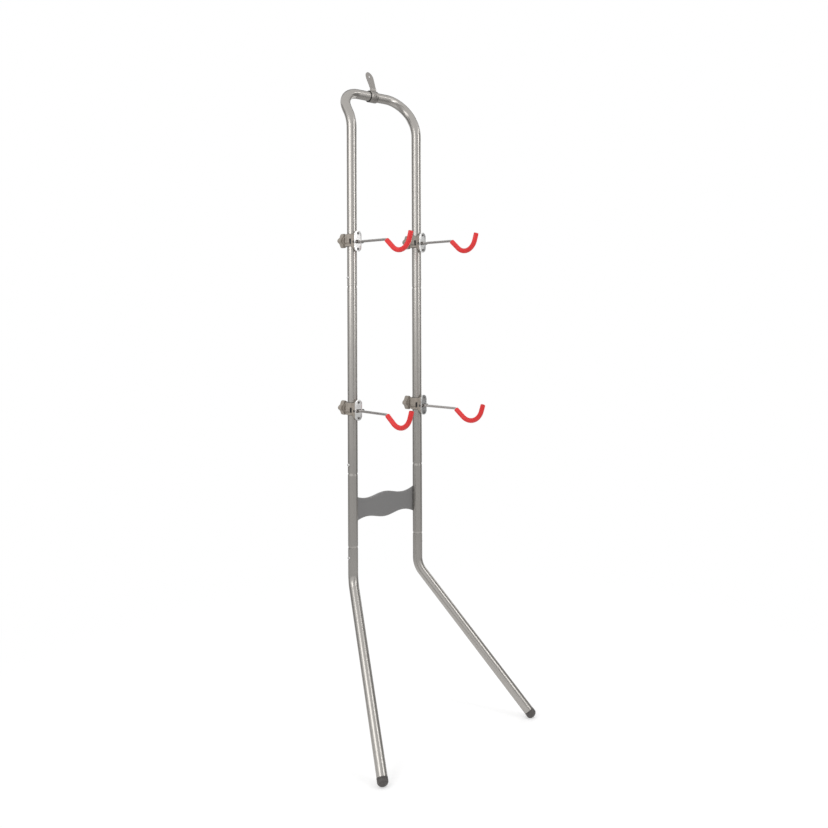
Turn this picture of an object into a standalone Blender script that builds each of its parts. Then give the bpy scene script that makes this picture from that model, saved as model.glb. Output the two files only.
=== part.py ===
"""Gravity bike rack: two posts joined at the top by a bent arch and near the bottom by a plate.

It stands on two splayed legs and leans on a wall, where a tab above the arch is screwed down. Four
clamps slide and turn on the posts, and each carries a hooked arm with a soft sleeve. Two bikes hang
by their top tubes, one on the upper pair of hooks and one on the lower pair.

Metres, +Z up, +Y towards the wall, the arms and feet at the front (-Y).
"""

import math

import bmesh
import bpy
from mathutils import Matrix, Vector

# Clearance between pieces that touch
GAP = 0.0003

# Frame tubes
POST_SPACING = 0.280
TUBE_RADIUS = 0.016
TUBE_WALL = 0.0015
TUBE_SIDES = 20
LOWER_TUBE_LENGTH = 0.2415
MIDDLE_TUBE_LENGTH = 0.6005
SOCKET_DEPTH = 0.060
SWAGE_LENGTH = 0.0075

# Arch: it leans back towards the wall above the posts, then closes over the top
ARCH_POST_LENGTH = 0.5385
ARCH_LEAN = math.radians(33)
ARCH_LEAN_RADIUS = 0.1025
ARCH_TOP_RISE = 0.1215
ARCH_CORNER_RADIUS = 0.0786

# Legs: they bend out and forward below the lower joints
LEG_SOCKET_LENGTH = 0.1075
LEG_BEND_RADIUS = 0.070
LOWER_JOINT_HEIGHT = 0.5675
FOOT_SPREAD = 0.632
FOOT_FORWARD = 0.354

# Foot caps: plugs with a domed end, cut flat where they stand
CAP_COLLAR = 0.011
CAP_DOME = 0.013
CAP_LIP = 0.0004
CAP_SPIGOT = 0.018
CAP_FLAT = 0.0008

# Snap buttons that lock the tube joints, each on a bent leaf spring
BUTTON_RADIUS = 0.0048
BUTTON_PROUD = 0.0042
BUTTON_DOME = 0.0026
BUTTON_RISE = 0.0265
BUTTON_DROP = 0.0305
LEAF_WIDTH = 0.008
LEAF_THICKNESS = 0.0008
LEAF_ABOVE = 0.023
LEAF_BELOW = 0.006
LEAF_BEND_RADIUS = 0.003
LEAF_RETURN = 0.022
LEAF_SPREAD = math.radians(16)

# Cross plate between the lower tubes
PLATE_HEIGHT = 0.688
PLATE_SETBACK = 0.008
PLATE_THICKNESS = 0.006
PLATE_EDGE = 0.0018
PLATE_MIDDLE = 0.083
PLATE_NECK = 0.061
PLATE_END = 0.078
PLATE_NECK_FROM_POST = 0.060

# Wall tab on the middle of the arch: a band, and a tongue that stands on it and bends back
TAB_BAND_WIDTH = 0.030
TAB_NECK_WIDTH = 0.0255
TAB_WIDTH = 0.0315
TAB_THICKNESS = 0.0020
TAB_LENGTH = 0.067
TAB_CROWN = 0.022
TAB_LEAN = math.radians(23.5)
TAB_BEND_RADIUS = 0.004
TAB_BEND_RISE = 0.0257
TAB_FOOT_FORWARD = 0.0055
TAB_HOLE_RADIUS = 0.0026
TAB_HOLE_FROM_TOP = 0.0185
TAB_COUNTERSINK = 0.0054
TAB_COUNTERSINK_DEPTH = 0.0015
TAB_LINER_WALL = 0.0012
TAB_LINER_WIDTH = 0.0335
TAB_SCREW_RADIUS = 0.0024
TAB_SCREW_HEAD = 0.0060
TAB_SCREW_DOME = 0.0030
TAB_SCREW_LENGTH = 0.009

# Clamp: liner, ring, a front block a little lower, and a rear boss
LINER_WALL = 0.0011
LINER_HEIGHT = 0.041
LINER_SLIT = 0.002
RING_WALL = 0.0048
RING_HEIGHT = 0.039
BLOCK_WIDTH = 0.0275
BLOCK_HEIGHT = 0.0665
BLOCK_BACK_HEIGHT = 0.046
BLOCK_DEPTH = 0.0165
BLOCK_DROP = 0.0034
BOSS_RADIUS = 0.010
BOSS_LENGTH = 0.004
SIDE_POCKET_HEIGHT = 0.0165
SIDE_POCKET_LENGTH = 0.009
SIDE_POCKET_DEPTH = 0.0038
SIDE_POCKET_ANGLE = math.radians(28)

# Arm pivot in the front block
TRUNNION_RADIUS = 0.0046
TRUNNION_LENGTH = 0.0225
POCKET_WEB = 0.0015
FRONT_LAND = 0.0046
PIVOT_DROP = 0.0058
PIVOT_BOLT_RADIUS = 0.0022
PIVOT_HEAD_RADIUS = 0.0038
PIVOT_HEAD_HEIGHT = 0.0012
PIVOT_NUT_RADIUS = 0.0046
PIVOT_NUT_HEIGHT = 0.0095
PIVOT_NUT_DOME = 0.0050
ARM_TILT = math.radians(10)

# Cover plate and its two screws
COVER_THICKNESS = 0.0022
COVER_LIP = 0.0005
COVER_SCREW_SPACING = 0.050
COVER_SCREW_RADIUS = 0.0022
COVER_SCREW_HEAD = 0.0042
COVER_SCREW_DOME = 0.0022
COVER_SCREW_BITE = 0.0065

# Arm: a bar bent to a hook, with a sleeve over the hook
ARM_RADIUS = 0.004
ARM_RUN = 0.146
HOOK_FALL = math.radians(38.3)
HOOK_FALL_RADIUS = 0.007
HOOK_SLOPE = 0.0396
HOOK_RADIUS = 0.0485
HOOK_TIP_RISE = math.radians(71.6)
HOOK_TIP = 0.0225
SLEEVE_RADIUS = 0.0078
SLEEVE_LEAD = 0.0035
SLEEVE_END = 0.004

# Clamp knob: a five-lobed star on a threaded stud that presses a pad on the liner
STAR_LOBES = 5
STAR_LOBE_POINTS = 6
STAR_RADIUS = 0.0241
STAR_VALLEY = 0.0187
STAR_THICKNESS = 0.0175
STAR_CHAMFER = 0.0025
STAR_NECK = 0.004
STAR_NECK_RADIUS = 0.008
THREAD_SHOWING = 0.0015
STUD_RADIUS = 0.004
PAD_RADIUS = 0.006
PAD_THICKNESS = 0.002
PAD_TRAVEL = 0.0019

# Where each clamp is kept: its post, the joint below it, its ring's rise above that joint, its turn
CLAMPS = {
    "upper_left": (-1, "upper", 0.1465, 0.0),
    "upper_right": (1, "upper", 0.1535, 0.0),
    "lower_left": (-1, "middle", 0.207, 0.0),
    "lower_right": (1, "middle", 0.203, math.radians(6)),
}

# Finishes: colour, roughness, metallic
SILVER_COAT = ((0.33, 0.32, 0.31), 0.38, 0.55)
PLATE_COAT = ((0.15, 0.155, 0.165), 0.45, 0.3)
DARK_RUBBER = ((0.045, 0.043, 0.043), 0.65, 0.0)
BLACK_NYLON = ((0.02, 0.02, 0.02), 0.5, 0.0)
ZINC = ((0.45, 0.45, 0.44), 0.35, 0.9)
DARK_STEEL = ((0.07, 0.068, 0.065), 0.4, 0.8)
BRIGHT_COVER = ((0.70, 0.70, 0.69), 0.28, 0.85)
WARM_GREY = ((0.20, 0.18, 0.155), 0.5, 0.1)
BAR_STEEL = ((0.32, 0.31, 0.30), 0.33, 0.85)
RED_SLEEVE = ((0.83, 0.035, 0.035), 0.5, 0.0)

# Worked out from the dimensions above
POST_X = POST_SPACING / 2
TUBE_BORE = TUBE_RADIUS - TUBE_WALL
MALE_RADIUS = TUBE_BORE - GAP
MALE_BORE = MALE_RADIUS - TUBE_WALL
JOINTS = {
    "lower": LOWER_JOINT_HEIGHT,
    "middle": LOWER_JOINT_HEIGHT + LOWER_TUBE_LENGTH,
    "upper": LOWER_JOINT_HEIGHT + LOWER_TUBE_LENGTH + MIDDLE_TUBE_LENGTH,
}
BUTTON_HEIGHTS = {
    "lower": JOINTS["lower"] - BUTTON_DROP,
    "middle": JOINTS["middle"] + BUTTON_RISE,
    "upper": JOINTS["upper"] + BUTTON_RISE,
}
LEG_BEND_HEIGHT = LOWER_JOINT_HEIGHT - LEG_SOCKET_LENGTH
ARCH_BEND_HEIGHT = JOINTS["upper"] + ARCH_POST_LENGTH
TOP_TUBE_SETBACK = ARCH_TOP_RISE * math.sin(ARCH_LEAN)
TOP_TUBE_HEIGHT = ARCH_BEND_HEIGHT + ARCH_TOP_RISE * math.cos(ARCH_LEAN)
CAP_RADIUS = TUBE_RADIUS + CAP_LIP
TAB_LINER_RADIUS = TUBE_RADIUS + GAP + TAB_LINER_WALL
BAND_BORE = TAB_LINER_RADIUS + GAP
BAND_RADIUS = BAND_BORE + TAB_THICKNESS
TAB_SPOT_RADIUS = TAB_SCREW_HEAD + GAP
TAB_SPOT_FORWARD = math.sqrt(BAND_RADIUS**2 - TAB_SPOT_RADIUS**2)
LINER_BORE = TUBE_RADIUS + GAP
LINER_RADIUS = LINER_BORE + LINER_WALL
CLAMP_BORE = LINER_RADIUS + GAP
RING_RADIUS = CLAMP_BORE + RING_WALL
POCKET_RADIUS = TRUNNION_RADIUS + GAP
PIVOT_FORWARD = CLAMP_BORE + POCKET_WEB + POCKET_RADIUS
BLOCK_FRONT = PIVOT_FORWARD + FRONT_LAND
COVER_BACK = BLOCK_FRONT + GAP
COVER_FRONT = COVER_BACK + COVER_THICKNESS
BOSS_BACK = RING_RADIUS + BOSS_LENGTH
PAD_BACK = CLAMP_BORE + PAD_THICKNESS
PAD_RECESS = PAD_BACK + PAD_TRAVEL + GAP
STAR_FRONT = BOSS_BACK + STAR_NECK
ARM_START = (PIVOT_BOLT_RADIUS + GAP + TRUNNION_RADIUS) / 2
HOOK_FALL_TANGENT = HOOK_FALL_RADIUS * math.tan(HOOK_FALL / 2)
X_AXIS = Vector((1, 0, 0))
Y_AXIS = Vector((0, 1, 0))
Z_AXIS = Vector((0, 0, 1))


def leg_line():
    """Length and direction of the right leg below its bend, and the height of its dome's centre."""
    height = 0.0
    for _ in range(12):
        fall = Vector((FOOT_SPREAD / 2 - POST_X, -FOOT_FORWARD, height - LEG_BEND_HEIGHT))
        down = fall.normalized().z
        height = math.hypot(CAP_DOME * down, CAP_RADIUS * math.sqrt(1 - down**2)) - CAP_FLAT
    return fall.length, fall.normalized(), height


def rack_setback():
    """How far the posts stand behind the middle of the rack's depth."""
    across = LEG_HEADING.y
    front = FOOT_FORWARD + math.hypot(CAP_DOME * across, CAP_RADIUS * math.sqrt(1 - across**2))
    tongue = TAB_LENGTH * math.sin(TAB_LEAN) + TAB_THICKNESS / 2 * math.cos(TAB_LEAN)
    back = TOP_TUBE_SETBACK - TAB_FOOT_FORWARD + tongue
    return (front - back) / 2


LEG_LENGTH, LEG_HEADING, FOOT_HEIGHT = leg_line()

for thing in list(bpy.data.objects):
    bpy.data.objects.remove(thing)


def place(name, mesh, parent=None, location=(0, 0, 0), turn=0.0):
    """An object on a mesh, or an empty where there is none, placed and turned under its parent."""
    thing = bpy.data.objects.new(name, mesh)
    bpy.context.scene.collection.objects.link(thing)
    thing.parent = parent
    thing.location = location
    thing.rotation_euler = (0, 0, turn)
    return thing


def solid(name, bm):
    """An object from a bmesh, with its faces pointing out."""
    bmesh.ops.recalc_face_normals(bm, faces=bm.faces)
    mesh = bpy.data.meshes.new(name)
    bm.to_mesh(mesh)
    bm.free()
    return place(name, mesh)


def settle(thing, finish, parent, location=(0, 0, 0)):
    """Puts a piece under its parent with its own material, and shades its round parts smooth."""
    colour, roughness, metallic = finish
    material = bpy.data.materials.new(thing.name)
    material.use_nodes = True
    shader = material.node_tree.nodes["Principled BSDF"]
    shader.inputs["Base Color"].default_value = (*colour, 1.0)
    shader.inputs["Roughness"].default_value = roughness
    shader.inputs["Metallic"].default_value = metallic
    thing.data.materials.clear()
    thing.data.materials.append(material)
    thing.data.shade_smooth()
    thing.data.set_sharp_from_angle(angle=math.radians(32))
    thing.parent = parent
    thing.location = location


def combine(body, operation, tools):
    """Joins tools to a body, or cuts them from it, and takes the tools away."""
    for tool in tools:
        step = body.modifiers.new(operation.lower(), "BOOLEAN")
        step.operation = operation
        step.solver = "EXACT"
        step.object = tool
        tool.hide_render = True
        tool.display_type = "WIRE"
    bpy.context.view_layer.update()
    shape = body.evaluated_get(bpy.context.evaluated_depsgraph_get())
    mesh = bpy.data.meshes.new_from_object(shape)
    body.modifiers.clear()
    body.data = mesh
    for tool in tools:
        bpy.data.objects.remove(tool)


def pushed(bm, front):
    """Extrudes the front of a mesh, and returns the new front and its corners."""
    front = bmesh.ops.extrude_face_region(bm, geom=front)["geom"]
    return front, [piece for piece in front if isinstance(piece, bmesh.types.BMVert)]


def swept(name, start, heading, moves, section):
    """A bar, tube or strip drawn from start along heading by straight runs and bends.

    The section is ("bar", radius, sides), ("tube", radius, bore, sides) or ("strip", across X,
    across Y). A move is ("run", length) or ("bend", radius, angle, axis, steps), where a bend turns
    the heading about the axis by the right-hand rule.
    """
    bm = bmesh.new()
    if section[0] == "strip":
        bmesh.ops.create_grid(bm, x_segments=1, y_segments=1, size=0.5)
        bmesh.ops.scale(bm, verts=bm.verts[:], vec=(section[1], section[2], 1))
    else:
        sides = section[-1]
        bmesh.ops.create_circle(bm, cap_ends=section[0] == "bar", segments=sides, radius=section[1])
    if section[0] == "tube":
        bmesh.ops.create_circle(bm, segments=sides, radius=section[2])
        bmesh.ops.bridge_loops(bm, edges=bm.edges[:])
    heading = Vector(heading).normalized()
    position = Vector(start)
    turn = Z_AXIS.rotation_difference(heading).to_matrix().to_4x4()
    bmesh.ops.transform(bm, matrix=Matrix.Translation(position) @ turn, verts=bm.verts[:])
    front = bm.verts[:] + bm.edges[:] + bm.faces[:]
    for move in moves:
        if move[0] == "run":
            front, corners = pushed(bm, front)
            bmesh.ops.translate(bm, verts=corners, vec=heading * move[1])
            position += heading * move[1]
            continue
        radius, angle, axis, steps = move[1:]
        centre = position + axis.cross(heading) * radius
        part = Matrix.Rotation(angle / steps, 3, axis)
        for _ in range(steps):
            front, corners = pushed(bm, front)
            bmesh.ops.rotate(bm, verts=corners, cent=centre, matrix=part)
        whole = Matrix.Rotation(angle, 3, axis)
        position = centre + whole @ (position - centre)
        heading = (whole @ heading).normalized()
    return solid(name, bm)


def turned(name, profile, sides, axis=Z_AXIS):
    """A solid of revolution from (radius, height) points, with the height along an axis.

    A profile that starts off the axis is a closed loop round a bore; one that starts on the axis
    also ends on it.
    """
    bm = bmesh.new()
    corners = [bm.verts.new((radius, 0, height)) for radius, height in profile]
    chain = [bm.edges.new(pair) for pair in zip(corners, corners[1:])]
    if profile[0][0] > 0:
        chain.append(bm.edges.new((corners[-1], corners[0])))
    bmesh.ops.spin(
        bm, geom=corners + chain, cent=(0, 0, 0), axis=(0, 0, 1),
        angle=2 * math.pi, steps=sides, use_merge=True,
    )
    bmesh.ops.remove_doubles(bm, verts=bm.verts[:], dist=1e-6)
    turn = Z_AXIS.rotation_difference(axis).to_matrix().to_4x4()
    bmesh.ops.transform(bm, matrix=turn, verts=bm.verts[:])
    return solid(name, bm)


def cylinder(name, radius, low, high, axis, sides, centre=(0, 0, 0)):
    """A cylinder along an axis, from low to high measured from a centre."""
    rod = turned(name, [(0, low), (radius, low), (radius, high), (0, high)], sides, axis)
    rod.location = centre
    return rod


def box(name, low, high):
    """A box between two corners."""
    bm = bmesh.new()
    bmesh.ops.create_cube(bm, size=1.0)
    bmesh.ops.scale(bm, verts=bm.verts[:], vec=Vector(high) - Vector(low))
    bmesh.ops.translate(bm, verts=bm.verts[:], vec=(Vector(high) + Vector(low)) / 2)
    return solid(name, bm)


def arc(radius, start, end, steps, centre=(0, 0)):
    """Points of an arc, with its angles in degrees."""
    angles = [math.radians(start + (end - start) * k / steps) for k in range(steps + 1)]
    return [(centre[0] + radius * math.cos(a), centre[1] + radius * math.sin(a)) for a in angles]


def stadium(width, height, steps):
    """Points of an outline with two round ends, upright or lying by its longer side."""
    radius = min(width, height) / 2
    reach = (max(width, height) - min(width, height)) / 2
    if height > width:
        return arc(radius, 0, 180, steps, (0, reach)) + arc(radius, 180, 360, steps, (0, -reach))
    return arc(radius, -90, 90, steps, (reach, 0)) + arc(radius, 90, 270, steps, (-reach, 0))


def extruded(name, points, layers):
    """A solid from an outline in X and Z, taken along Y through (y, width scale, height scale)."""
    bm = bmesh.new()
    y, wide, tall = layers[0]
    bm.faces.new([bm.verts.new((x * wide, y, z * tall)) for x, z in points])
    front = bm.verts[:] + bm.edges[:] + bm.faces[:]
    for next_y, next_wide, next_tall in layers[1:]:
        front, corners = pushed(bm, front)
        bmesh.ops.translate(bm, verts=corners, vec=(0, next_y - y, 0))
        bmesh.ops.scale(bm, verts=corners, vec=(next_wide / wide, 1, next_tall / tall))
        y, wide, tall = next_y, next_wide, next_tall
    return solid(name, bm)


def button_hole(side, height):
    """Cutter for the hole of a snap button through one side of a tube."""
    return cylinder(
        "button_hole", BUTTON_RADIUS + GAP, MALE_BORE / 2, TUBE_RADIUS + BUTTON_PROUD,
        X_AXIS * side, 12, (0, 0, height),
    )


def make_arch(rack):
    """The top tube: both upper posts and the arch over them, in one bent tube."""
    lean_tangent = ARCH_LEAN_RADIUS * math.tan(ARCH_LEAN / 2)
    up_and_back = Vector((0, math.sin(ARCH_LEAN), math.cos(ARCH_LEAN)))
    corner_axis = up_and_back.cross(X_AXIS)
    post_run = ("run", ARCH_POST_LENGTH - lean_tangent)
    lean_run = ("run", ARCH_TOP_RISE - lean_tangent - ARCH_CORNER_RADIUS)
    corner = ("bend", ARCH_CORNER_RADIUS, math.pi / 2, corner_axis, 6)
    moves = [
        post_run,
        ("bend", ARCH_LEAN_RADIUS, ARCH_LEAN, -X_AXIS, 3),
        lean_run,
        corner,
        ("run", POST_SPACING - 2 * ARCH_CORNER_RADIUS),
        corner,
        lean_run,
        ("bend", ARCH_LEAN_RADIUS, ARCH_LEAN, X_AXIS, 3),
        post_run,
    ]
    foot = JOINTS["upper"]
    section = ("tube", TUBE_RADIUS, TUBE_BORE, TUBE_SIDES)
    arch = swept("top_arch", (-POST_X, 0, foot), Z_AXIS, moves, section)
    cutters = [
        cylinder(
            "tab_screw_hole", TAB_SCREW_RADIUS + GAP, -BAND_RADIUS, -TUBE_BORE / 2,
            Y_AXIS, 12, (0, TOP_TUBE_SETBACK, TOP_TUBE_HEIGHT),
        )
    ]
    for side in (-1, 1):
        hole = button_hole(side, BUTTON_HEIGHTS["upper"])
        hole.location.x = side * POST_X
        cutters.append(hole)
    combine(arch, "DIFFERENCE", cutters)
    settle(arch, SILVER_COAT, rack)


def make_post_tube(name, side, length, male_foot, foot, rack):
    """A straight post tube whose swaged end goes up into the tube above, or at both ends."""
    outer = [(TUBE_RADIUS, 0)]
    if male_foot:
        outer = [(MALE_RADIUS, -SOCKET_DEPTH), (MALE_RADIUS, 0), (TUBE_RADIUS, SWAGE_LENGTH)]
    shoulder = length - GAP
    outer += [
        (TUBE_RADIUS, shoulder - SWAGE_LENGTH),
        (MALE_RADIUS, shoulder),
        (MALE_RADIUS, shoulder + SOCKET_DEPTH),
    ]
    inner = [(radius - TUBE_WALL, height) for radius, height in reversed(outer)]
    tube = turned(name, outer + inner, TUBE_SIDES)
    holes = [button_hole(side, BUTTON_HEIGHTS[joint] - foot) for joint in JOINTS]
    spare = [
        hole for hole in holes
        if not outer[0][1] < hole.location.z < shoulder + SOCKET_DEPTH
    ]
    for hole in spare:
        holes.remove(hole)
        bpy.data.objects.remove(hole)
    combine(tube, "DIFFERENCE", holes)
    settle(tube, SILVER_COAT, rack, (side * POST_X, 0, foot))


def make_leg(name, side, rack):
    """A leg: a socket for the lower tube, a bend, and a straight run out and forward to the foot."""
    heading = Vector((side * LEG_HEADING.x, LEG_HEADING.y, LEG_HEADING.z))
    angle = heading.angle(-Z_AXIS)
    tangent = LEG_BEND_RADIUS * math.tan(angle / 2)
    moves = [
        ("run", LEG_SOCKET_LENGTH - GAP - tangent),
        ("bend", LEG_BEND_RADIUS, angle, (-Z_AXIS).cross(heading).normalized(), 4),
        ("run", LEG_LENGTH - tangent - CAP_COLLAR - GAP),
    ]
    section = ("tube", TUBE_RADIUS, TUBE_BORE, TUBE_SIDES)
    leg = swept(name, (0, 0, -GAP), -Z_AXIS, moves, section)
    combine(leg, "DIFFERENCE", [button_hole(side, -BUTTON_DROP)])
    settle(leg, SILVER_COAT, rack, (side * POST_X, 0, LOWER_JOINT_HEIGHT))


def make_foot_cap(name, side, rack):
    """A domed plug in the end of a leg, cut flat on the floor."""
    heading = Vector((side * LEG_HEADING.x, LEG_HEADING.y, LEG_HEADING.z))
    dome = [(x, z * CAP_DOME / CAP_RADIUS) for x, z in arc(CAP_RADIUS, 0, 90, 4)[:-1]]
    profile = [
        (0, -CAP_COLLAR - CAP_SPIGOT),
        (MALE_RADIUS, -CAP_COLLAR - CAP_SPIGOT),
        (MALE_RADIUS, -CAP_COLLAR),
        (CAP_RADIUS, -CAP_COLLAR),
        *dome,
        (0, CAP_DOME),
    ]
    cap = turned(name, profile, TUBE_SIDES, heading)
    bm = bmesh.new()
    bm.from_mesh(cap.data)
    bmesh.ops.bisect_plane(
        bm, geom=bm.verts[:] + bm.edges[:] + bm.faces[:], dist=1e-6,
        plane_co=(0, 0, -FOOT_HEIGHT), plane_no=(0, 0, -1), clear_outer=True,
    )
    bmesh.ops.holes_fill(bm, edges=bm.edges[:])
    bmesh.ops.recalc_face_normals(bm, faces=bm.faces[:])
    bm.to_mesh(cap.data)
    bm.free()
    settle(cap, DARK_RUBBER, rack, (side * FOOT_SPREAD / 2, -FOOT_FORWARD, FOOT_HEIGHT))


def make_snap_button(name, side, height, rack):
    """A domed button on a bent leaf spring, which rests on the inner wall of the male tube."""
    leaf_face = math.sqrt(MALE_BORE**2 - (LEAF_WIDTH / 2) ** 2) - GAP
    leaf_middle = leaf_face - LEAF_THICKNESS / 2
    moves = [
        ("run", LEAF_ABOVE + LEAF_BELOW),
        ("bend", LEAF_BEND_RADIUS, math.pi - LEAF_SPREAD, -Y_AXIS * side, 5),
        ("run", LEAF_RETURN),
    ]
    start = (side * leaf_middle, 0, -LEAF_BELOW)
    button = swept(name, start, Z_AXIS, moves, ("strip", LEAF_THICKNESS, LEAF_WIDTH))
    crown = TUBE_RADIUS + BUTTON_PROUD
    profile = [
        (0, leaf_middle),
        (BUTTON_RADIUS, leaf_middle),
        (BUTTON_RADIUS, crown - BUTTON_DOME),
        (BUTTON_RADIUS * 0.75, crown - BUTTON_DOME / 3),
        (0, crown),
    ]
    combine(button, "UNION", [turned("button_head", profile, 12, X_AXIS * side)])
    settle(button, ZINC, rack, (side * POST_X, 0, height))


def plate_half_height(x):
    """Half the height of the cross plate at a distance from its middle."""
    neck = POST_X - PLATE_NECK_FROM_POST
    if x < neck:
        share = (1 - math.cos(math.pi * x / neck)) / 2
        return (PLATE_MIDDLE + (PLATE_NECK - PLATE_MIDDLE) * share) / 2
    share = ((x - neck) / (PLATE_NECK_FROM_POST - TUBE_RADIUS)) ** 2
    return (PLATE_NECK + (PLATE_END - PLATE_NECK) * share) / 2


def make_cross_plate(rack):
    """A wavy plate welded between the lower tubes, behind their middle, with rounded edges."""
    end = POST_X - TUBE_RADIUS / 2
    steps = 8
    across = [end * k / steps for k in range(-steps, steps + 1)]
    upper = [(x, plate_half_height(abs(x))) for x in across]
    lower = [(x, -z) for x, z in reversed(upper)]
    half = PLATE_THICKNESS / 2
    plate = extruded("cross_plate", upper + lower, [(-half, 1, 1), (half, 1, 1)])
    bm = bmesh.new()
    bm.from_mesh(plate.data)
    rims = []
    for edge in bm.edges:
        start, stop = (corner.co for corner in edge.verts)
        if start.y == stop.y and start.x != stop.x:
            rims.append(edge)
    bmesh.ops.bevel(
        bm, geom=rims, offset=PLATE_EDGE, offset_type="OFFSET", segments=1,
        profile=0.5, affect="EDGES", material=-1,
    )
    bm.to_mesh(plate.data)
    bm.free()
    plate.location = (0, PLATE_SETBACK, 0)
    reach = PLATE_END
    posts = [
        cylinder("post", TUBE_RADIUS + GAP, -reach, reach, Z_AXIS, TUBE_SIDES, (x, 0, 0))
        for x in (-POST_X, POST_X)
    ]
    combine(plate, "DIFFERENCE", posts)
    settle(plate, PLATE_COAT, rack, (0, PLATE_SETBACK, PLATE_HEIGHT))


def ring_profile(radius, bore, width):
    """Profile of a plain ring centred on its own middle."""
    half = width / 2
    return [(bore, -half), (radius, -half), (radius, half), (bore, half)]


def tongue_outline():
    """Outline of the tongue about its bend: a neck that widens to a long round crown."""
    shoulder = TAB_LENGTH - TAB_CROWN
    steps = 5
    right = [(TAB_NECK_WIDTH / 2, -TAB_BEND_RISE)]
    for k in range(steps):
        share = (1 - math.cos(math.pi * k / steps)) / 2
        width = TAB_NECK_WIDTH + (TAB_WIDTH - TAB_NECK_WIDTH) * share
        right.append((width / 2, shoulder * k / steps))
    stretch = TAB_CROWN / (TAB_WIDTH / 2)
    crown = [(x, shoulder + z * stretch) for x, z in arc(TAB_WIDTH / 2, 0, 180, 12)]
    left = [(-x, z) for x, z in reversed(right)]
    return right + crown + left


def make_wall_tab(rack):
    """The band with its tongue, the liner under the band, and the screw through both."""
    centre = (0, TOP_TUBE_SETBACK, TOP_TUBE_HEIGHT)
    screw_hole = TAB_SCREW_RADIUS + GAP

    liner = turned(
        "wall_tab_liner", ring_profile(TAB_LINER_RADIUS, TUBE_RADIUS + GAP, TAB_LINER_WIDTH),
        TUBE_SIDES, X_AXIS,
    )
    hole = cylinder("liner_hole", screw_hole, -BAND_RADIUS, -TUBE_BORE, Y_AXIS, 12)
    combine(liner, "DIFFERENCE", [hole])
    settle(liner, BLACK_NYLON, rack, centre)

    skin = TAB_THICKNESS / 2
    foot_height = math.sqrt((BAND_RADIUS - skin) ** 2 - TAB_FOOT_FORWARD**2)
    tangent = TAB_BEND_RADIUS * math.tan(TAB_LEAN / 2)
    moves = [
        ("run", TAB_BEND_RISE - foot_height - tangent),
        ("bend", TAB_BEND_RADIUS, TAB_LEAN, -X_AXIS, 3),
        ("run", TAB_LENGTH - tangent + skin),
    ]
    foot = (0, -TAB_FOOT_FORWARD, foot_height)
    tongue = swept("tongue", foot, Z_AXIS, moves, ("strip", TAB_WIDTH, TAB_THICKNESS))
    bend = Vector((0, -TAB_FOOT_FORWARD, TAB_BEND_RISE))
    shape = extruded(
        "tongue_shape", tongue_outline(), [(-TAB_BEND_RISE, 1, 1), (TAB_BEND_RISE, 1, 1)]
    )
    shape.rotation_euler = (-TAB_LEAN, 0, 0)
    shape.location = bend
    combine(tongue, "INTERSECT", [shape])
    ring = ring_profile(BAND_RADIUS, BAND_BORE, TAB_BAND_WIDTH)
    band = turned("wall_tab", ring, TUBE_SIDES, X_AXIS)
    combine(band, "UNION", [tongue])
    taper = (TAB_COUNTERSINK - TAB_HOLE_RADIUS) / TAB_COUNTERSINK_DEPTH
    bit = [
        (0, -2 * skin),
        (TAB_COUNTERSINK + taper * skin, -2 * skin),
        (TAB_HOLE_RADIUS, TAB_COUNTERSINK_DEPTH - skin),
        (TAB_HOLE_RADIUS, 2 * skin),
        (0, 2 * skin),
    ]
    through = Vector((0, math.cos(TAB_LEAN), -math.sin(TAB_LEAN)))
    wall_hole = turned("wall_hole", bit, 16, through)
    along = Vector((0, math.sin(TAB_LEAN), math.cos(TAB_LEAN)))
    wall_hole.location = bend + along * (TAB_LENGTH - TAB_HOLE_FROM_TOP)
    cutters = [
        wall_hole,
        cylinder("band_hole", screw_hole, -2 * BAND_RADIUS, -TUBE_BORE, Y_AXIS, 12),
        cylinder("band_spot", TAB_SPOT_RADIUS, -2 * BAND_RADIUS, -TAB_SPOT_FORWARD, Y_AXIS, 16),
    ]
    combine(band, "DIFFERENCE", cutters)
    settle(band, ZINC, rack, centre)

    seat = -TAB_SPOT_FORWARD - GAP
    profile = [
        (0, seat - TAB_SCREW_DOME),
        (TAB_SCREW_HEAD * 0.7, seat - TAB_SCREW_DOME * 0.8),
        (TAB_SCREW_HEAD, seat - TAB_SCREW_DOME * 0.25),
        (TAB_SCREW_HEAD, seat),
        (TAB_SCREW_RADIUS, seat),
        (TAB_SCREW_RADIUS, seat + TAB_SCREW_LENGTH),
        (0, seat + TAB_SCREW_LENGTH),
    ]
    screw = turned("wall_tab_screw", profile, 16, Y_AXIS)
    settle(screw, ZINC, rack, centre)


def clamp_liner(name):
    """A split plastic sleeve on the post, which the clamp turns on."""
    liner = turned(name, ring_profile(LINER_RADIUS, LINER_BORE, LINER_HEIGHT), TUBE_SIDES)
    half = LINER_SLIT / 2
    slit = box("slit", (-half, -2 * LINER_RADIUS, -LINER_HEIGHT), (half, 0, LINER_HEIGHT))
    combine(liner, "DIFFERENCE", [slit])
    return liner


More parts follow.
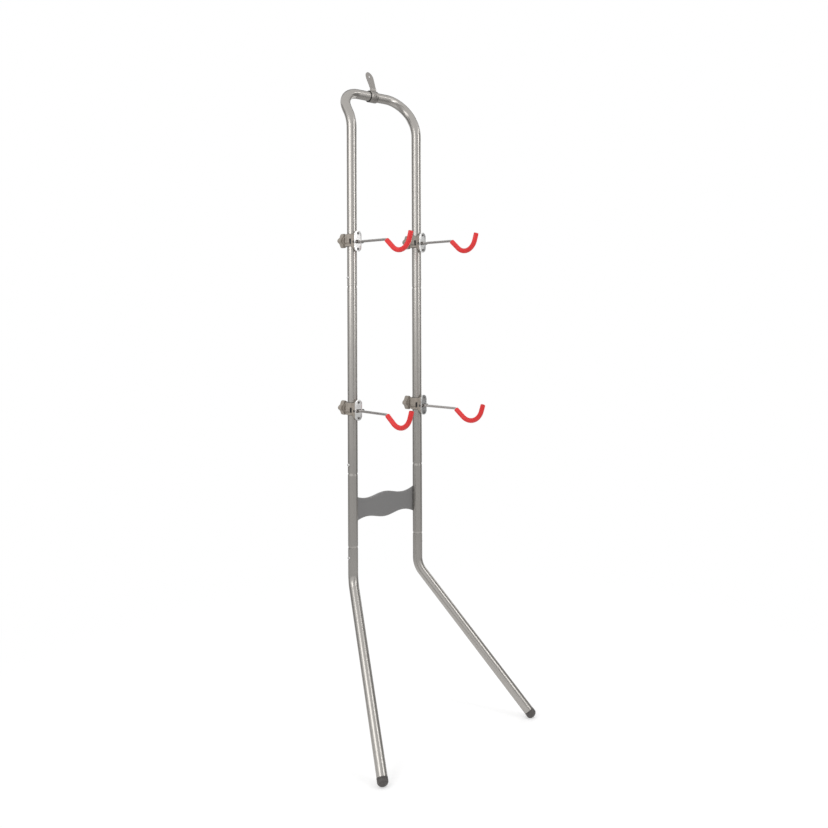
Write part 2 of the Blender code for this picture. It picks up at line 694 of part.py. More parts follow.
def clamp_body(name):
    """The moulded clamp: a ring on the post, a tall front block and a boss for the knob's stud."""
    body = cylinder(name, RING_RADIUS, -RING_HEIGHT / 2, RING_HEIGHT / 2, Z_AXIS, TUBE_SIDES)
    block_back = BLOCK_FRONT - BLOCK_DEPTH
    layers = [(-BLOCK_FRONT, 1, 1), (-block_back, 1, BLOCK_BACK_HEIGHT / BLOCK_HEIGHT)]
    block = extruded("block", stadium(BLOCK_WIDTH, BLOCK_HEIGHT, 6), layers)
    block.location.z = -BLOCK_DROP
    boss = cylinder("boss", BOSS_RADIUS, CLAMP_BORE, BOSS_BACK, Y_AXIS, 16)
    combine(body, "UNION", [block, boss])

    pocket_half = TRUNNION_LENGTH / 2 + GAP
    cheek = BLOCK_WIDTH / 2
    pivot = (0, -PIVOT_FORWARD, -PIVOT_DROP)
    mouth = [(-BLOCK_FRONT, POCKET_RADIUS), (-BLOCK_FRONT, -POCKET_RADIUS)]
    outline = arc(POCKET_RADIUS, -90, 90, 8) + mouth
    pocket = extruded("pocket", outline, [(-pocket_half, 1, 1), (pocket_half, 1, 1)])
    pocket.rotation_euler = (0, 0, math.pi / 2)
    pocket.location = pivot
    screw_end = BLOCK_FRONT - COVER_SCREW_BITE - GAP
    sink = PIVOT_HEAD_HEIGHT + GAP
    side_pocket = box(
        "side_pocket",
        (-2 * RING_RADIUS, -SIDE_POCKET_LENGTH / 2, -SIDE_POCKET_HEIGHT / 2),
        (SIDE_POCKET_DEPTH - RING_RADIUS, SIDE_POCKET_LENGTH / 2, SIDE_POCKET_HEIGHT / 2),
    )
    side_pocket.rotation_euler = (0, 0, SIDE_POCKET_ANGLE)
    cutters = [
        cylinder("bore", CLAMP_BORE, -BLOCK_HEIGHT, BLOCK_HEIGHT, Z_AXIS, TUBE_SIDES),
        cylinder("pad_recess", PAD_RADIUS + GAP, CLAMP_BORE / 2, PAD_RECESS, Y_AXIS, 16),
        cylinder("stud_hole", STUD_RADIUS + GAP, CLAMP_BORE / 2, 2 * BOSS_BACK, Y_AXIS, 12),
        pocket,
        cylinder("pin_hole", PIVOT_BOLT_RADIUS + GAP, -2 * cheek, 2 * cheek, X_AXIS, 12, pivot),
        cylinder("head_sink", PIVOT_HEAD_RADIUS + GAP, -2 * cheek, sink - cheek, X_AXIS, 12, pivot),
        side_pocket,
    ]
    for height in (-COVER_SCREW_SPACING / 2, COVER_SCREW_SPACING / 2):
        cutters.append(
            cylinder(
                "screw_hole", COVER_SCREW_RADIUS + GAP, -2 * BLOCK_FRONT, -screw_end,
                Y_AXIS, 10, (0, 0, height - BLOCK_DROP),
            )
        )
    combine(body, "DIFFERENCE", cutters)
    return body


def cover_plate(name):
    """The bright plate on the front of the block, with a slot for the arm and two screw holes."""
    layers = [(-COVER_BACK, 1, 1), (-COVER_FRONT, 1, 1)]
    outline = stadium(BLOCK_WIDTH + 2 * COVER_LIP, BLOCK_HEIGHT + 2 * COVER_LIP, 6)
    cover = extruded(name, outline, layers)
    reach = COVER_FRONT - PIVOT_FORWARD
    swing = reach * math.tan(ARM_TILT) + ARM_RADIUS / math.cos(ARM_TILT) + GAP
    slot = extruded(
        "slot", stadium(TRUNNION_LENGTH + 2 * GAP, 2 * swing, 6),
        [(-2 * COVER_FRONT, 1, 1), (0, 1, 1)],
    )
    slot.location.z = BLOCK_DROP - PIVOT_DROP
    cutters = [slot]
    for height in (-COVER_SCREW_SPACING / 2, COVER_SCREW_SPACING / 2):
        cutters.append(
            cylinder(
                "screw_hole", COVER_SCREW_RADIUS + GAP, -2 * COVER_FRONT, 0,
                Y_AXIS, 10, (0, 0, height),
            )
        )
    combine(cover, "DIFFERENCE", cutters)
    return cover


def cover_screw(name):
    """A domed screw through the cover plate into the block."""
    seat = -COVER_FRONT - GAP
    tip = -BLOCK_FRONT + COVER_SCREW_BITE
    profile = [
        (0, seat - COVER_SCREW_DOME),
        (COVER_SCREW_HEAD * 0.65, seat - COVER_SCREW_DOME * 0.8),
        (COVER_SCREW_HEAD, seat),
        (COVER_SCREW_RADIUS, seat),
        (COVER_SCREW_RADIUS, tip),
        (0, tip),
    ]
    return turned(name, profile, 10, Y_AXIS)


def pivot_pin(name):
    """The arm's pivot bolt, with its head sunk in the left cheek and a dome nut on the right."""
    cheek = BLOCK_WIDTH / 2
    nut_face = cheek + GAP
    nut_end = nut_face + PIVOT_NUT_HEIGHT
    profile = [
        (0, -cheek),
        (PIVOT_HEAD_RADIUS, -cheek),
        (PIVOT_HEAD_RADIUS, PIVOT_HEAD_HEIGHT - cheek),
        (PIVOT_BOLT_RADIUS, PIVOT_HEAD_HEIGHT - cheek),
        (PIVOT_BOLT_RADIUS, nut_face),
        (PIVOT_NUT_RADIUS, nut_face),
        (PIVOT_NUT_RADIUS, nut_end),
        (PIVOT_NUT_RADIUS * 0.7, nut_end + PIVOT_NUT_DOME * 0.7),
        (0, nut_end + PIVOT_NUT_DOME),
    ]
    return turned(name, profile, 12, X_AXIS)


def hook_moves(start, tip):
    """Moves of the hook beyond the arm's corner, from a distance past it and to a shorter tip."""
    return [
        ("run", HOOK_SLOPE - start),
        ("bend", HOOK_RADIUS, HOOK_FALL + HOOK_TIP_RISE, -X_AXIS, 8),
        ("run", HOOK_TIP - tip),
    ]


def arm_rod(name):
    """The arm: a cross tube for the pivot, a level bar, and a hook at its end."""
    moves = [
        ("run", ARM_RUN - ARM_START - HOOK_FALL_TANGENT),
        ("bend", HOOK_FALL_RADIUS, HOOK_FALL, X_AXIS, 2),
        *hook_moves(HOOK_FALL_TANGENT, SLEEVE_END + GAP),
    ]
    rod = swept(name, (0, -ARM_START, 0), -Y_AXIS, moves, ("bar", ARM_RADIUS, 10))
    bore = PIVOT_BOLT_RADIUS + GAP
    trunnion = turned("trunnion", ring_profile(TRUNNION_RADIUS, bore, TRUNNION_LENGTH), 16, X_AXIS)
    combine(rod, "UNION", [trunnion])
    return rod


def hook_sleeve(name):
    """The soft sleeve over the hook, closed over its tip."""
    slope = Vector((0, -math.cos(HOOK_FALL), -math.sin(HOOK_FALL)))
    corner = Vector((0, -ARM_RUN, 0))
    mouth = corner + slope * SLEEVE_LEAD
    sleeve = swept(name, mouth, slope, hook_moves(SLEEVE_LEAD, 0), ("bar", SLEEVE_RADIUS, 12))
    bore = swept(
        "bore", corner, slope, hook_moves(0, SLEEVE_END), ("bar", ARM_RADIUS + GAP, 10)
    )
    combine(sleeve, "DIFFERENCE", [bore])
    return sleeve


def star_knob(name):
    """The knob behind the post: a lobed grip, a neck, and the stud moulded into it."""
    outline = []
    count = STAR_LOBES * STAR_LOBE_POINTS
    for k in range(count):
        angle = 2 * math.pi * k / count
        lobe = (1 - math.cos(STAR_LOBES * (angle - math.pi) + math.pi)) / 2
        radius = STAR_VALLEY + (STAR_RADIUS - STAR_VALLEY) * lobe
        outline.append((radius * math.cos(angle), radius * math.sin(angle)))
    bevel = 1 - STAR_CHAMFER / STAR_RADIUS
    back = STAR_FRONT + STAR_THICKNESS
    layers = [
        (STAR_FRONT, bevel, bevel),
        (STAR_FRONT + STAR_CHAMFER, 1, 1),
        (back - STAR_CHAMFER, 1, 1),
        (back, bevel, bevel),
    ]
    knob = extruded(name, outline, layers)
    middle = STAR_FRONT + STAR_THICKNESS / 2
    neck = cylinder("neck", STAR_NECK_RADIUS, BOSS_BACK + THREAD_SHOWING, middle, Y_AXIS, 16)
    stud = cylinder("stud", STUD_RADIUS, PAD_BACK + GAP, middle, Y_AXIS, 12)
    combine(knob, "UNION", [neck, stud])
    return knob


def pressure_pad(name):
    """A disc under the stud's end, hollowed to lie on the liner."""
    pad = cylinder(name, PAD_RADIUS, CLAMP_BORE - PAD_RADIUS / 2, PAD_BACK, Y_AXIS, 16)
    liner = cylinder("liner", CLAMP_BORE, -PAD_RADIUS * 2, PAD_RADIUS * 2, Z_AXIS, TUBE_SIDES)
    combine(pad, "DIFFERENCE", [liner])
    return pad


def make_clamp(prefix, side, height, turn, rack):
    """One clamp with its arm: the liner slides, the body turns on it, the arm tilts in the body."""
    post = place(f"{prefix}_slider", None, rack, (side * POST_X, 0, height))
    settle(clamp_liner(f"{prefix}_clamp_liner"), BLACK_NYLON, post)
    swivel = place(f"{prefix}_swivel", None, post, turn=turn)
    settle(clamp_body(f"{prefix}_clamp_body"), WARM_GREY, swivel)
    settle(cover_plate(f"{prefix}_cover_plate"), BRIGHT_COVER, swivel, (0, 0, -BLOCK_DROP))
    for level, rise in (("upper", 0.5), ("lower", -0.5)):
        screw = cover_screw(f"{prefix}_{level}_cover_screw")
        settle(screw, DARK_STEEL, swivel, (0, 0, rise * COVER_SCREW_SPACING - BLOCK_DROP))
    settle(star_knob(f"{prefix}_star_knob"), WARM_GREY, swivel)
    settle(pressure_pad(f"{prefix}_pressure_pad"), DARK_STEEL, swivel)
    pivot = place(f"{prefix}_pivot", None, swivel, (0, -PIVOT_FORWARD, -PIVOT_DROP))
    settle(pivot_pin(f"{prefix}_pivot_pin"), DARK_STEEL, pivot)
    settle(arm_rod(f"{prefix}_arm_rod"), BAR_STEEL, pivot)
    settle(hook_sleeve(f"{prefix}_hook_sleeve"), RED_SLEEVE, pivot)


def make_rack():
    """The whole rack, with its posts set back so that its depth is centred."""
    rack = place("rack", None, location=(0, rack_setback(), 0))
    make_arch(rack)
    for hand, side in (("left", -1), ("right", 1)):
        make_post_tube(
            f"{hand}_middle_tube", side, MIDDLE_TUBE_LENGTH, False, JOINTS["middle"], rack
        )
        make_post_tube(
            f"{hand}_lower_tube", side, LOWER_TUBE_LENGTH, True, JOINTS["lower"], rack
        )
        make_leg(f"{hand}_leg", side, rack)
        make_foot_cap(f"{hand}_foot_cap", side, rack)
        for joint, height in BUTTON_HEIGHTS.items():
            make_snap_button(f"{hand}_{joint}_snap_button", side, height, rack)
    make_cross_plate(rack)
    make_wall_tab(rack)
    for prefix, (side, joint, rise, turn) in CLAMPS.items():
        make_clamp(prefix, side, JOINTS[joint] + rise, turn, rack)


make_rack()
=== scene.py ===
import math

import bmesh
import bpy
from mathutils import Matrix, Vector


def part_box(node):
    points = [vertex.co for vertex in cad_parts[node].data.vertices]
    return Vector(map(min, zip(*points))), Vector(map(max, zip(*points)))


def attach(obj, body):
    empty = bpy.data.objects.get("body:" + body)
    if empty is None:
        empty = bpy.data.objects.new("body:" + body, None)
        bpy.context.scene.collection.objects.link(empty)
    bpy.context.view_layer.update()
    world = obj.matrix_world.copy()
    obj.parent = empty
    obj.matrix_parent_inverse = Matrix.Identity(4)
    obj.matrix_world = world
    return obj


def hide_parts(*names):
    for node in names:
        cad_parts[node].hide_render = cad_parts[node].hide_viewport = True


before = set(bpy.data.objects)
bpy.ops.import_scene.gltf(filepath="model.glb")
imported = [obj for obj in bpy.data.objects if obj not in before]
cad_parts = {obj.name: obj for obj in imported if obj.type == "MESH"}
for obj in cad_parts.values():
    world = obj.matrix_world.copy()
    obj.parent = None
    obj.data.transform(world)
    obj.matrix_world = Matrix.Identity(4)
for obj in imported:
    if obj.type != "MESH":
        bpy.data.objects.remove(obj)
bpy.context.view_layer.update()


# Camera
# It stands level at the rack's front left, between the heights of its two pairs of arms. The view
# is shifted down instead of tilted, so that the posts stay upright in the picture.
POST_LOW, POST_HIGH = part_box("right_middle_tube")
POST_X, POST_Y = (POST_LOW.x + POST_HIGH.x) / 2, (POST_LOW.y + POST_HIGH.y) / 2
VIEW_TURN = math.radians(-42.053)
VIEW_ROLL = math.radians(-0.204)
VIEW_DISTANCE = 3.0215
VIEW_ASIDE = 0.0951
VIEW_HEIGHT = 1.3483
PICTURE_SIDE = 828
LENS_PIXELS = 910.08
AXIS_PIXEL = (414.1, 304.81)
SENSOR_WIDTH = 36.0
ahead = Vector((-math.sin(VIEW_TURN), math.cos(VIEW_TURN), 0))
aside = Vector((math.cos(VIEW_TURN), math.sin(VIEW_TURN), 0))
eye = Vector((0, POST_Y, VIEW_HEIGHT)) - ahead * VIEW_DISTANCE + aside * VIEW_ASIDE
camera = bpy.data.objects.new("camera", bpy.data.cameras.new("camera"))
camera.data.sensor_width = SENSOR_WIDTH
camera.data.lens = SENSOR_WIDTH * LENS_PIXELS / PICTURE_SIDE
camera.data.shift_x = (PICTURE_SIDE / 2 - AXIS_PIXEL[0]) / PICTURE_SIDE
camera.data.shift_y = (AXIS_PIXEL[1] - PICTURE_SIDE / 2) / PICTURE_SIDE
camera.matrix_world = (
    Matrix.Translation(eye)
    @ Matrix.Rotation(VIEW_TURN, 4, "Z")
    @ Matrix.Rotation(math.pi / 2, 4, "X")
    @ Matrix.Rotation(VIEW_ROLL, 4, "Z")
)
bpy.context.scene.collection.objects.link(camera)
bpy.context.scene.camera = camera
bpy.context.scene.view_settings.view_transform = "Standard"


# Floor
# A pale matt floor that keeps the rack's soft shadow near its feet. Away from them it turns into
# the plain white of the backdrop, and reflections see it dimmer than the eye does.
FLOOR_HALF = 9.0
SHADOW_REACH = 1.15
SHADOW_FADE = 0.75
FLOOR_COLOUR = (0.80, 0.80, 0.80, 1.0)
FLOOR_GLOW = 0.42
FLOOR_MIRRORED = 0.55


def linked(name, bm):
    """An object at the origin from a bmesh, in the scene."""
    mesh = bpy.data.meshes.new(name)
    bm.to_mesh(mesh)
    bm.free()
    thing = bpy.data.objects.new(name, mesh)
    bpy.context.scene.collection.objects.link(thing)
    return thing


def joined(tree, kind, *parts):
    """The output of a new node whose inputs, in their order, are the parts."""
    join = tree.nodes.new(kind)
    for part, socket in zip(parts, join.inputs):
        tree.links.new(part, socket)
    return join.outputs[0]


def ray_is(tree, *kinds):
    """1 for a ray of one of the kinds, and 0 for any other."""
    path = tree.nodes.new("ShaderNodeLightPath")
    found = path.outputs[kinds[0]]
    for kind in kinds[1:]:
        found = joined(tree, "ShaderNodeMath", found, path.outputs[kind])
        found.node.operation = "MAXIMUM"
    return found


def ranged(tree, value, low, high, start=0, stop=1, way="LINEAR"):
    """A level that goes from low to high as a value goes from start to stop."""
    level = tree.nodes.new("ShaderNodeMapRange")
    level.interpolation_type = way
    level.inputs["From Min"].default_value = start
    level.inputs["From Max"].default_value = stop
    level.inputs["To Min"].default_value = low
    level.inputs["To Max"].default_value = high
    tree.links.new(value, level.inputs["Value"])
    return level.outputs["Result"]


def glowing(tree, strength):
    """A white glow of a strength."""
    glow = tree.nodes.new("ShaderNodeEmission")
    tree.links.new(strength, glow.inputs["Strength"])
    return glow.outputs[0]


bm = bmesh.new()
bmesh.ops.create_grid(bm, x_segments=1, y_segments=1, size=FLOOR_HALF)
floor = linked("studio_floor", bm)
floor_paint = bpy.data.materials.new("studio_floor")
floor_paint.use_nodes = True
tree = floor_paint.node_tree
tree.nodes.clear()
matt = tree.nodes.new("ShaderNodeBsdfDiffuse")
matt.inputs["Color"].default_value = FLOOR_COLOUR
seen = ray_is(tree, "Is Camera Ray", "Is Glossy Ray")
glow = glowing(tree, ranged(tree, seen, 0, FLOOR_GLOW))
near = joined(tree, "ShaderNodeAddShader", matt.outputs[0], glow)
white = glowing(tree, ranged(tree, ray_is(tree, "Is Camera Ray"), FLOOR_MIRRORED, 1))
far = joined(tree, "ShaderNodeMixShader", seen, matt.outputs[0], white)
spot = tree.nodes.new("ShaderNodeTexCoord")
reach = tree.nodes.new("ShaderNodeVectorMath")
reach.operation = "LENGTH"
tree.links.new(spot.outputs["Object"], reach.inputs[0])
kept, lost = SHADOW_REACH - SHADOW_FADE, SHADOW_REACH + SHADOW_FADE
fade = ranged(tree, reach.outputs["Value"], 0, 1, kept, lost, "SMOOTHSTEP")
surface = tree.nodes.new("ShaderNodeOutputMaterial")
blend = joined(tree, "ShaderNodeMixShader", fade, near, far)
tree.links.new(blend, surface.inputs["Surface"])
floor.data.materials.append(floor_paint)


# Lamps and backdrop
# Tall softboxes on the left and in front band the posts, one fills in from the right, and a strip
# above lights the arch. Dark cards, seen only in reflections, part the bands. The backdrop is white
# to the eye and in reflections, and softer as light.
AMBIENT = 0.62
LAMP_AIM = 2.15
SOFTBOXES = (
    ("left_softbox", (-2.3, -0.15, 2.15), (1.5, 1.7), 19.0),
    ("front_softbox", (0.75, -2.0, 2.10), (0.42, 1.7), 9.5),
    ("right_softbox", (2.4, 0.6, 1.5), (1.2, 1.6), 6.0),
    ("high_softbox", (1.75, -1.55, 3.25), (1.6, 0.30), 4.0),
)
CARDS = (
    ("right_card", (2.30, -1.00, 1.5), (1.8, 3.0), 0.16),
    ("left_card", (-1.38, 2.35, 1.5), (1.8, 3.0), 0.22),
    ("front_card", (-0.62, -2.30, 1.9), (0.55, 2.4), 0.20),
    ("high_card", (1.85, 2.15, 3.55), (3.4, 2.2), 0.16),
)


def to_posts(place):
    """The way from a lamp or card to the posts, level or down to the aim's height."""
    return Vector((0, POST_Y, min(place[2], LAMP_AIM))) - Vector(place)


for name, place, size, power in SOFTBOXES:
    lamp = bpy.data.lights.new(name, "AREA")
    lamp.shape = "RECTANGLE"
    lamp.size, lamp.size_y = size
    lamp.energy = power
    softbox = bpy.data.objects.new(name, lamp)
    softbox.location = place
    softbox.rotation_euler = to_posts(place).to_track_quat("-Z", "Y").to_euler()
    softbox.visible_camera = False
    bpy.context.scene.collection.objects.link(softbox)
for name, place, size, shade in CARDS:
    bm = bmesh.new()
    bmesh.ops.create_grid(bm, x_segments=1, y_segments=1, size=0.5)
    bmesh.ops.scale(bm, verts=bm.verts[:], vec=(*size, 1))
    facing = to_posts(place).to_track_quat("Z", "Y").to_matrix().to_4x4()
    bmesh.ops.transform(bm, matrix=Matrix.Translation(place) @ facing, verts=bm.verts[:])
    card = linked(name, bm)
    card.visible_camera = card.visible_diffuse = card.visible_shadow = False
    paint = bpy.data.materials.new(name)
    paint.use_nodes = True
    tree = paint.node_tree
    tree.nodes.clear()
    glow = tree.nodes.new("ShaderNodeEmission")
    glow.inputs["Color"].default_value = (shade, shade, shade, 1.0)
    surface = tree.nodes.new("ShaderNodeOutputMaterial")
    tree.links.new(glow.outputs[0], surface.inputs["Surface"])
    card.data.materials.append(paint)
backdrop = bpy.data.worlds.new("backdrop")
bpy.context.scene.world = backdrop
backdrop.use_nodes = True
tree = backdrop.node_tree
seen = ray_is(tree, "Is Camera Ray", "Is Glossy Ray", "Is Transmission Ray")
sky = tree.nodes["Background"]
sky.inputs["Color"].default_value = (1, 1, 1, 1)
tree.links.new(ranged(tree, seen, AMBIENT, 1), sky.inputs["Strength"])


# Legs
# Steel tube with a silver metallic coat. Each leg takes the lower tube's swaged end in its top,
# bends out and forward, and stands on a rubber cap.
HANDS = {"left": -1, "right": 1}
TUBE_RADIUS = 0.016
TUBE_WALL = 0.0015
TUBE_SIDES = 56
TUBE_RIM = 0.0005
LOWER_JOINT = 0.5675
LEG_BEND_HEIGHT = 0.460
LEG_BEND_RADIUS = 0.070
LEG_BEND_STEPS = 16
FOOT_SPREAD = 0.632
FOOT_FORWARD = 0.354
FOOT_HEIGHT = 0.0138
CAP_COLLAR = 0.011
GAP = 0.0003
MERGE = 1e-6
ROUND_BELOW = 35
NOISE_ENDS = (0.3, 0.7)
NOISE_DETAIL = 3.0
SILVER = (0.445, 0.425, 0.40, 1.0)
SILVER_SHADE = (0.395, 0.378, 0.355, 1.0)
SILVER_GLINT = (0.75, 0.75, 0.75, 1.0)


def drawn_on(bm, place, heading, moves):
    """Draws a ring or line of edges on by moves, and leaves their skin behind.

    ("run", length, growth) goes straight on and scales the ring; ("bend", radius, angle, axis,
    steps) turns the heading round the axis.
    """
    place, heading = Vector(place), Vector(heading).normalized()
    ring = bm.edges[:]
    for kind, *sizes in moves:
        steps = sizes[3] if kind == "bend" else 1
        if kind == "bend":
            bend_radius, angle, axis = sizes[:3]
            centre = place + axis.cross(heading) * bend_radius
            turn = Matrix.Rotation(angle, 3, axis)
            place = centre + turn @ (place - centre)
            heading = turn @ heading
        else:
            place = place + heading * sizes[0]
        for _ in range(steps):
            grown = bmesh.ops.extrude_edge_only(bm, edges=ring)["geom"]
            corners = [piece for piece in grown if isinstance(piece, bmesh.types.BMVert)]
            edges = [piece for piece in grown if isinstance(piece, bmesh.types.BMEdge)]
            fresh = set(corners)
            ring = [edge for edge in edges if fresh.issuperset(edge.verts)]
            if kind == "bend":
                part = Matrix.Rotation(angle / steps, 3, axis)
                bmesh.ops.rotate(bm, verts=corners, cent=centre, matrix=part)
            else:
                about = Matrix.Translation(-place)
                bmesh.ops.translate(bm, verts=corners, vec=heading * sizes[0])
                bmesh.ops.scale(bm, verts=corners, vec=(sizes[1],) * 3, space=about)
    return bm


def draw_tube(radius, sides, start, heading, moves):
    """The open-ended skin of a tube or bar, drawn on from its first ring."""
    bm = bmesh.new()
    facing = Vector(heading).to_track_quat("Z", "Y").to_matrix().to_4x4()
    upright = Matrix.Translation(start) @ facing
    bmesh.ops.create_circle(bm, segments=sides, radius=radius, matrix=upright)
    return drawn_on(bm, start, heading, moves)


def finished(name, bm, finish, angle=ROUND_BELOW):
    """A piece from a bmesh: doubles merged, faces outwards, round parts smooth, and its finish."""
    bmesh.ops.remove_doubles(bm, verts=bm.verts[:], dist=MERGE)
    bmesh.ops.recalc_face_normals(bm, faces=bm.faces[:])
    piece = linked(name, bm)
    piece.data.shade_smooth()
    piece.data.set_sharp_from_angle(angle=math.radians(angle))
    piece.data.materials.append(finish)
    return piece


def walled(piece, wall, offset=-1):
    """Gives a skin its wall, inwards, or to both sides where the offset is 0."""
    step = piece.modifiers.new("wall", "SOLIDIFY")
    step.thickness = wall
    step.offset = offset
    return piece


def new_finish(
    name, dark, light, metallic, roughness, depth, grains,
    detail=NOISE_DETAIL, stretch=(1, 1, 1), ends=NOISE_ENDS,
):
    """A material whose colour, roughness and relief each follow a noise pattern.

    Grains are how many each of the three patterns has a metre, and like grains share a pattern.
    The detail is the first one's, and a stretch below 1 draws the grains out.
    """
    finish = bpy.data.materials.new(name)
    finish.use_nodes = True
    nodes, links = finish.node_tree.nodes, finish.node_tree.links
    place = nodes.new("ShaderNodeTexCoord")
    spread = nodes.new("ShaderNodeMapping")
    spread.inputs["Scale"].default_value = stretch
    links.new(place.outputs["Object"], spread.inputs["Vector"])
    patterns = {}
    for scale, fineness in zip(grains, (detail, NOISE_DETAIL, NOISE_DETAIL)):
        if scale not in patterns:
            noise = nodes.new("ShaderNodeTexNoise")
            noise.inputs["Scale"].default_value = scale
            noise.inputs["Detail"].default_value = fineness
            links.new(spread.outputs["Vector"], noise.inputs["Vector"])
            patterns[scale] = noise.outputs["Fac"]
    tint, gloss, skin = (patterns[scale] for scale in grains)
    ramp = nodes.new("ShaderNodeValToRGB")
    for stop, end, shade in zip(ramp.color_ramp.elements, ends, (dark, light)):
        stop.position = end
        stop.color = shade
    links.new(tint, ramp.inputs["Fac"])
    bump = nodes.new("ShaderNodeBump")
    bump.inputs["Distance"].default_value = depth
    links.new(skin, bump.inputs["Height"])
    shader = nodes["Principled BSDF"]
    shader.inputs["Metallic"].default_value = metallic
    links.new(ramp.outputs["Color"], shader.inputs["Base Color"])
    links.new(ranged(finish.node_tree, gloss, *roughness, *NOISE_ENDS), shader.inputs["Roughness"])
    links.new(bump.outputs["Normal"], shader.inputs["Normal"])
    return finish


silver_coat = new_finish(
    "silver_coat", SILVER_SHADE, SILVER, metallic=0.7, roughness=(0.21, 0.27),
    depth=6e-6, grains=(2600, 24, 700), detail=1.0,
)
shader = silver_coat.node_tree.nodes["Principled BSDF"]
shader.inputs["Specular Tint"].default_value = SILVER_GLINT
down = Vector((0, 0, -1))
rounded_rim = ("run", TUBE_RIM, TUBE_RADIUS / (TUBE_RADIUS - TUBE_RIM))
foot_centres, leg_headings = {}, {}
for hand, side in HANDS.items():
    knee = Vector((side * POST_X, POST_Y, LEG_BEND_HEIGHT))
    foot_centres[hand] = Vector((side * FOOT_SPREAD / 2, POST_Y - FOOT_FORWARD, FOOT_HEIGHT))
    shin = foot_centres[hand] - knee
    leg_headings[hand] = shin.normalized()
    angle = shin.angle(down)
    tangent = LEG_BEND_RADIUS * math.tan(angle / 2)
    top = Vector((knee.x, knee.y, LOWER_JOINT - GAP))
    axis = down.cross(shin).normalized()
    moves = [
        rounded_rim,
        ("run", top.z - knee.z - tangent - TUBE_RIM, 1),
        ("bend", LEG_BEND_RADIUS, angle, axis, LEG_BEND_STEPS),
        ("run", shin.length - tangent - CAP_COLLAR - GAP, 1),
    ]
    skin = draw_tube(TUBE_RADIUS - TUBE_RIM, TUBE_SIDES, top, down, moves)
    leg = walled(finished(f"{hand}_bent_leg", skin, silver_coat), TUBE_WALL)
    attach(leg, "frame")
    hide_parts(f"{hand}_leg")


# Foot caps
# Dark moulded rubber plugs, pushed into the ends of the legs. Each has a collar with a shallow
# groove round it and a domed end, worn flat where it stands.
CAP_RADIUS = 0.0164
CAP_DOME = 0.013
CAP_DOME_STEPS = 14
CAP_SPIGOT = 0.018
CAP_GROOVE = (0.0032, 0.0052)
CAP_GROOVE_DEPTH = 0.0006
CAP_EASE = 0.0007
SPIGOT_RADIUS = 0.0142
SPIGOT_POINT = 0.001
SPIGOT_LEAD = 0.004
LATHE_STEPS = 48
SHORT_OF_HALF = 2.01
DARK_RUBBER = (0.082, 0.075, 0.071, 1.0)
RUBBER_DUST = (0.125, 0.116, 0.110, 1.0)


def all_of(bm):
    """Everything in a bmesh, as its operators take it."""
    return bm.verts[:] + bm.edges[:] + bm.faces[:]


def lathed(profile, steps=LATHE_STEPS):
    """A turned solid about +Z from (radius, height) points, closed where they touch the axis."""
    bm = bmesh.new()
    corners = [bm.verts.new((radius, 0, height)) for radius, height in profile]
    chain = [bm.edges.new(pair) for pair in zip(corners, corners[1:])]
    if profile[0][0] > 0:
        chain.append(bm.edges.new((corners[-1], corners[0])))
    bmesh.ops.spin(
        bm, geom=corners + chain, cent=(0, 0, 0), axis=(0, 0, 1),
        angle=2 * math.pi, steps=steps, use_merge=True,
    )
    bmesh.ops.remove_doubles(bm, verts=bm.verts[:], dist=MERGE)
    return bm


def eased(corners, radius, steps=4):
    """The points of a profile with its corners rounded."""
    points = [Vector(corner) for corner in corners]
    path = [tuple(points[0])]
    for before, corner, after in zip(points, points[1:], points[2:]):
        back, on = before - corner, after - corner
        reach = min(radius, back.length / SHORT_OF_HALF, on.length / SHORT_OF_HALF)
        start, stop = corner + back.normalized() * reach, corner + on.normalized() * reach
        for k in range(steps + 1):
            share = k / steps
            near = start.lerp(corner, share)
            path.append(tuple(near.lerp(corner.lerp(stop, share), share)))
    path.append(tuple(points[-1]))
    return path


def pointed(bm, axis, place=(0, 0, 0)):
    """Turns a piece made about +Z to an axis, and moves it to its place."""
    facing = Vector((0, 0, 1)).rotation_difference(Vector(axis)).to_matrix().to_4x4()
    bmesh.ops.transform(bm, matrix=Matrix.Translation(place) @ facing, verts=bm.verts[:])
    return bm


foot_rubber = new_finish(
    "foot_rubber", DARK_RUBBER, RUBBER_DUST, metallic=0, roughness=(0.42, 0.6),
    depth=1.2e-4, grains=(160, 1500, 1500), ends=(0.35, 0.8),
)
dome = []
for k in range(CAP_DOME_STEPS):
    angle = math.radians(90 * k / CAP_DOME_STEPS)
    dome.append((CAP_RADIUS * math.cos(angle), CAP_DOME * math.sin(angle)))
dome.append((0, CAP_DOME))
low, high = (height - CAP_COLLAR for height in CAP_GROOVE)
tip = -CAP_COLLAR - CAP_SPIGOT
collar = [
    (0, tip),
    (SPIGOT_RADIUS - SPIGOT_POINT, tip),
    (SPIGOT_RADIUS, tip + SPIGOT_LEAD),
    (SPIGOT_RADIUS, -CAP_COLLAR),
    (CAP_RADIUS, -CAP_COLLAR),
    (CAP_RADIUS, low),
    (CAP_RADIUS - CAP_GROOVE_DEPTH, low + CAP_GROOVE_DEPTH),
    (CAP_RADIUS - CAP_GROOVE_DEPTH, high - CAP_GROOVE_DEPTH),
    (CAP_RADIUS, high),
]
for hand in HANDS:
    bm = lathed(eased(collar, CAP_EASE, steps=3) + dome)
    pointed(bm, leg_headings[hand], foot_centres[hand])
    bmesh.ops.bisect_plane(
        bm, geom=all_of(bm), dist=MERGE, plane_co=(0, 0, 0), plane_no=(0, 0, -1),
        clear_outer=True,
    )
    bmesh.ops.holes_fill(bm, edges=bm.edges[:])
    cap = finished(f"{hand}_foot_plug", bm, foot_rubber)
    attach(cap, "frame")
    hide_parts(f"{hand}_foot_cap")


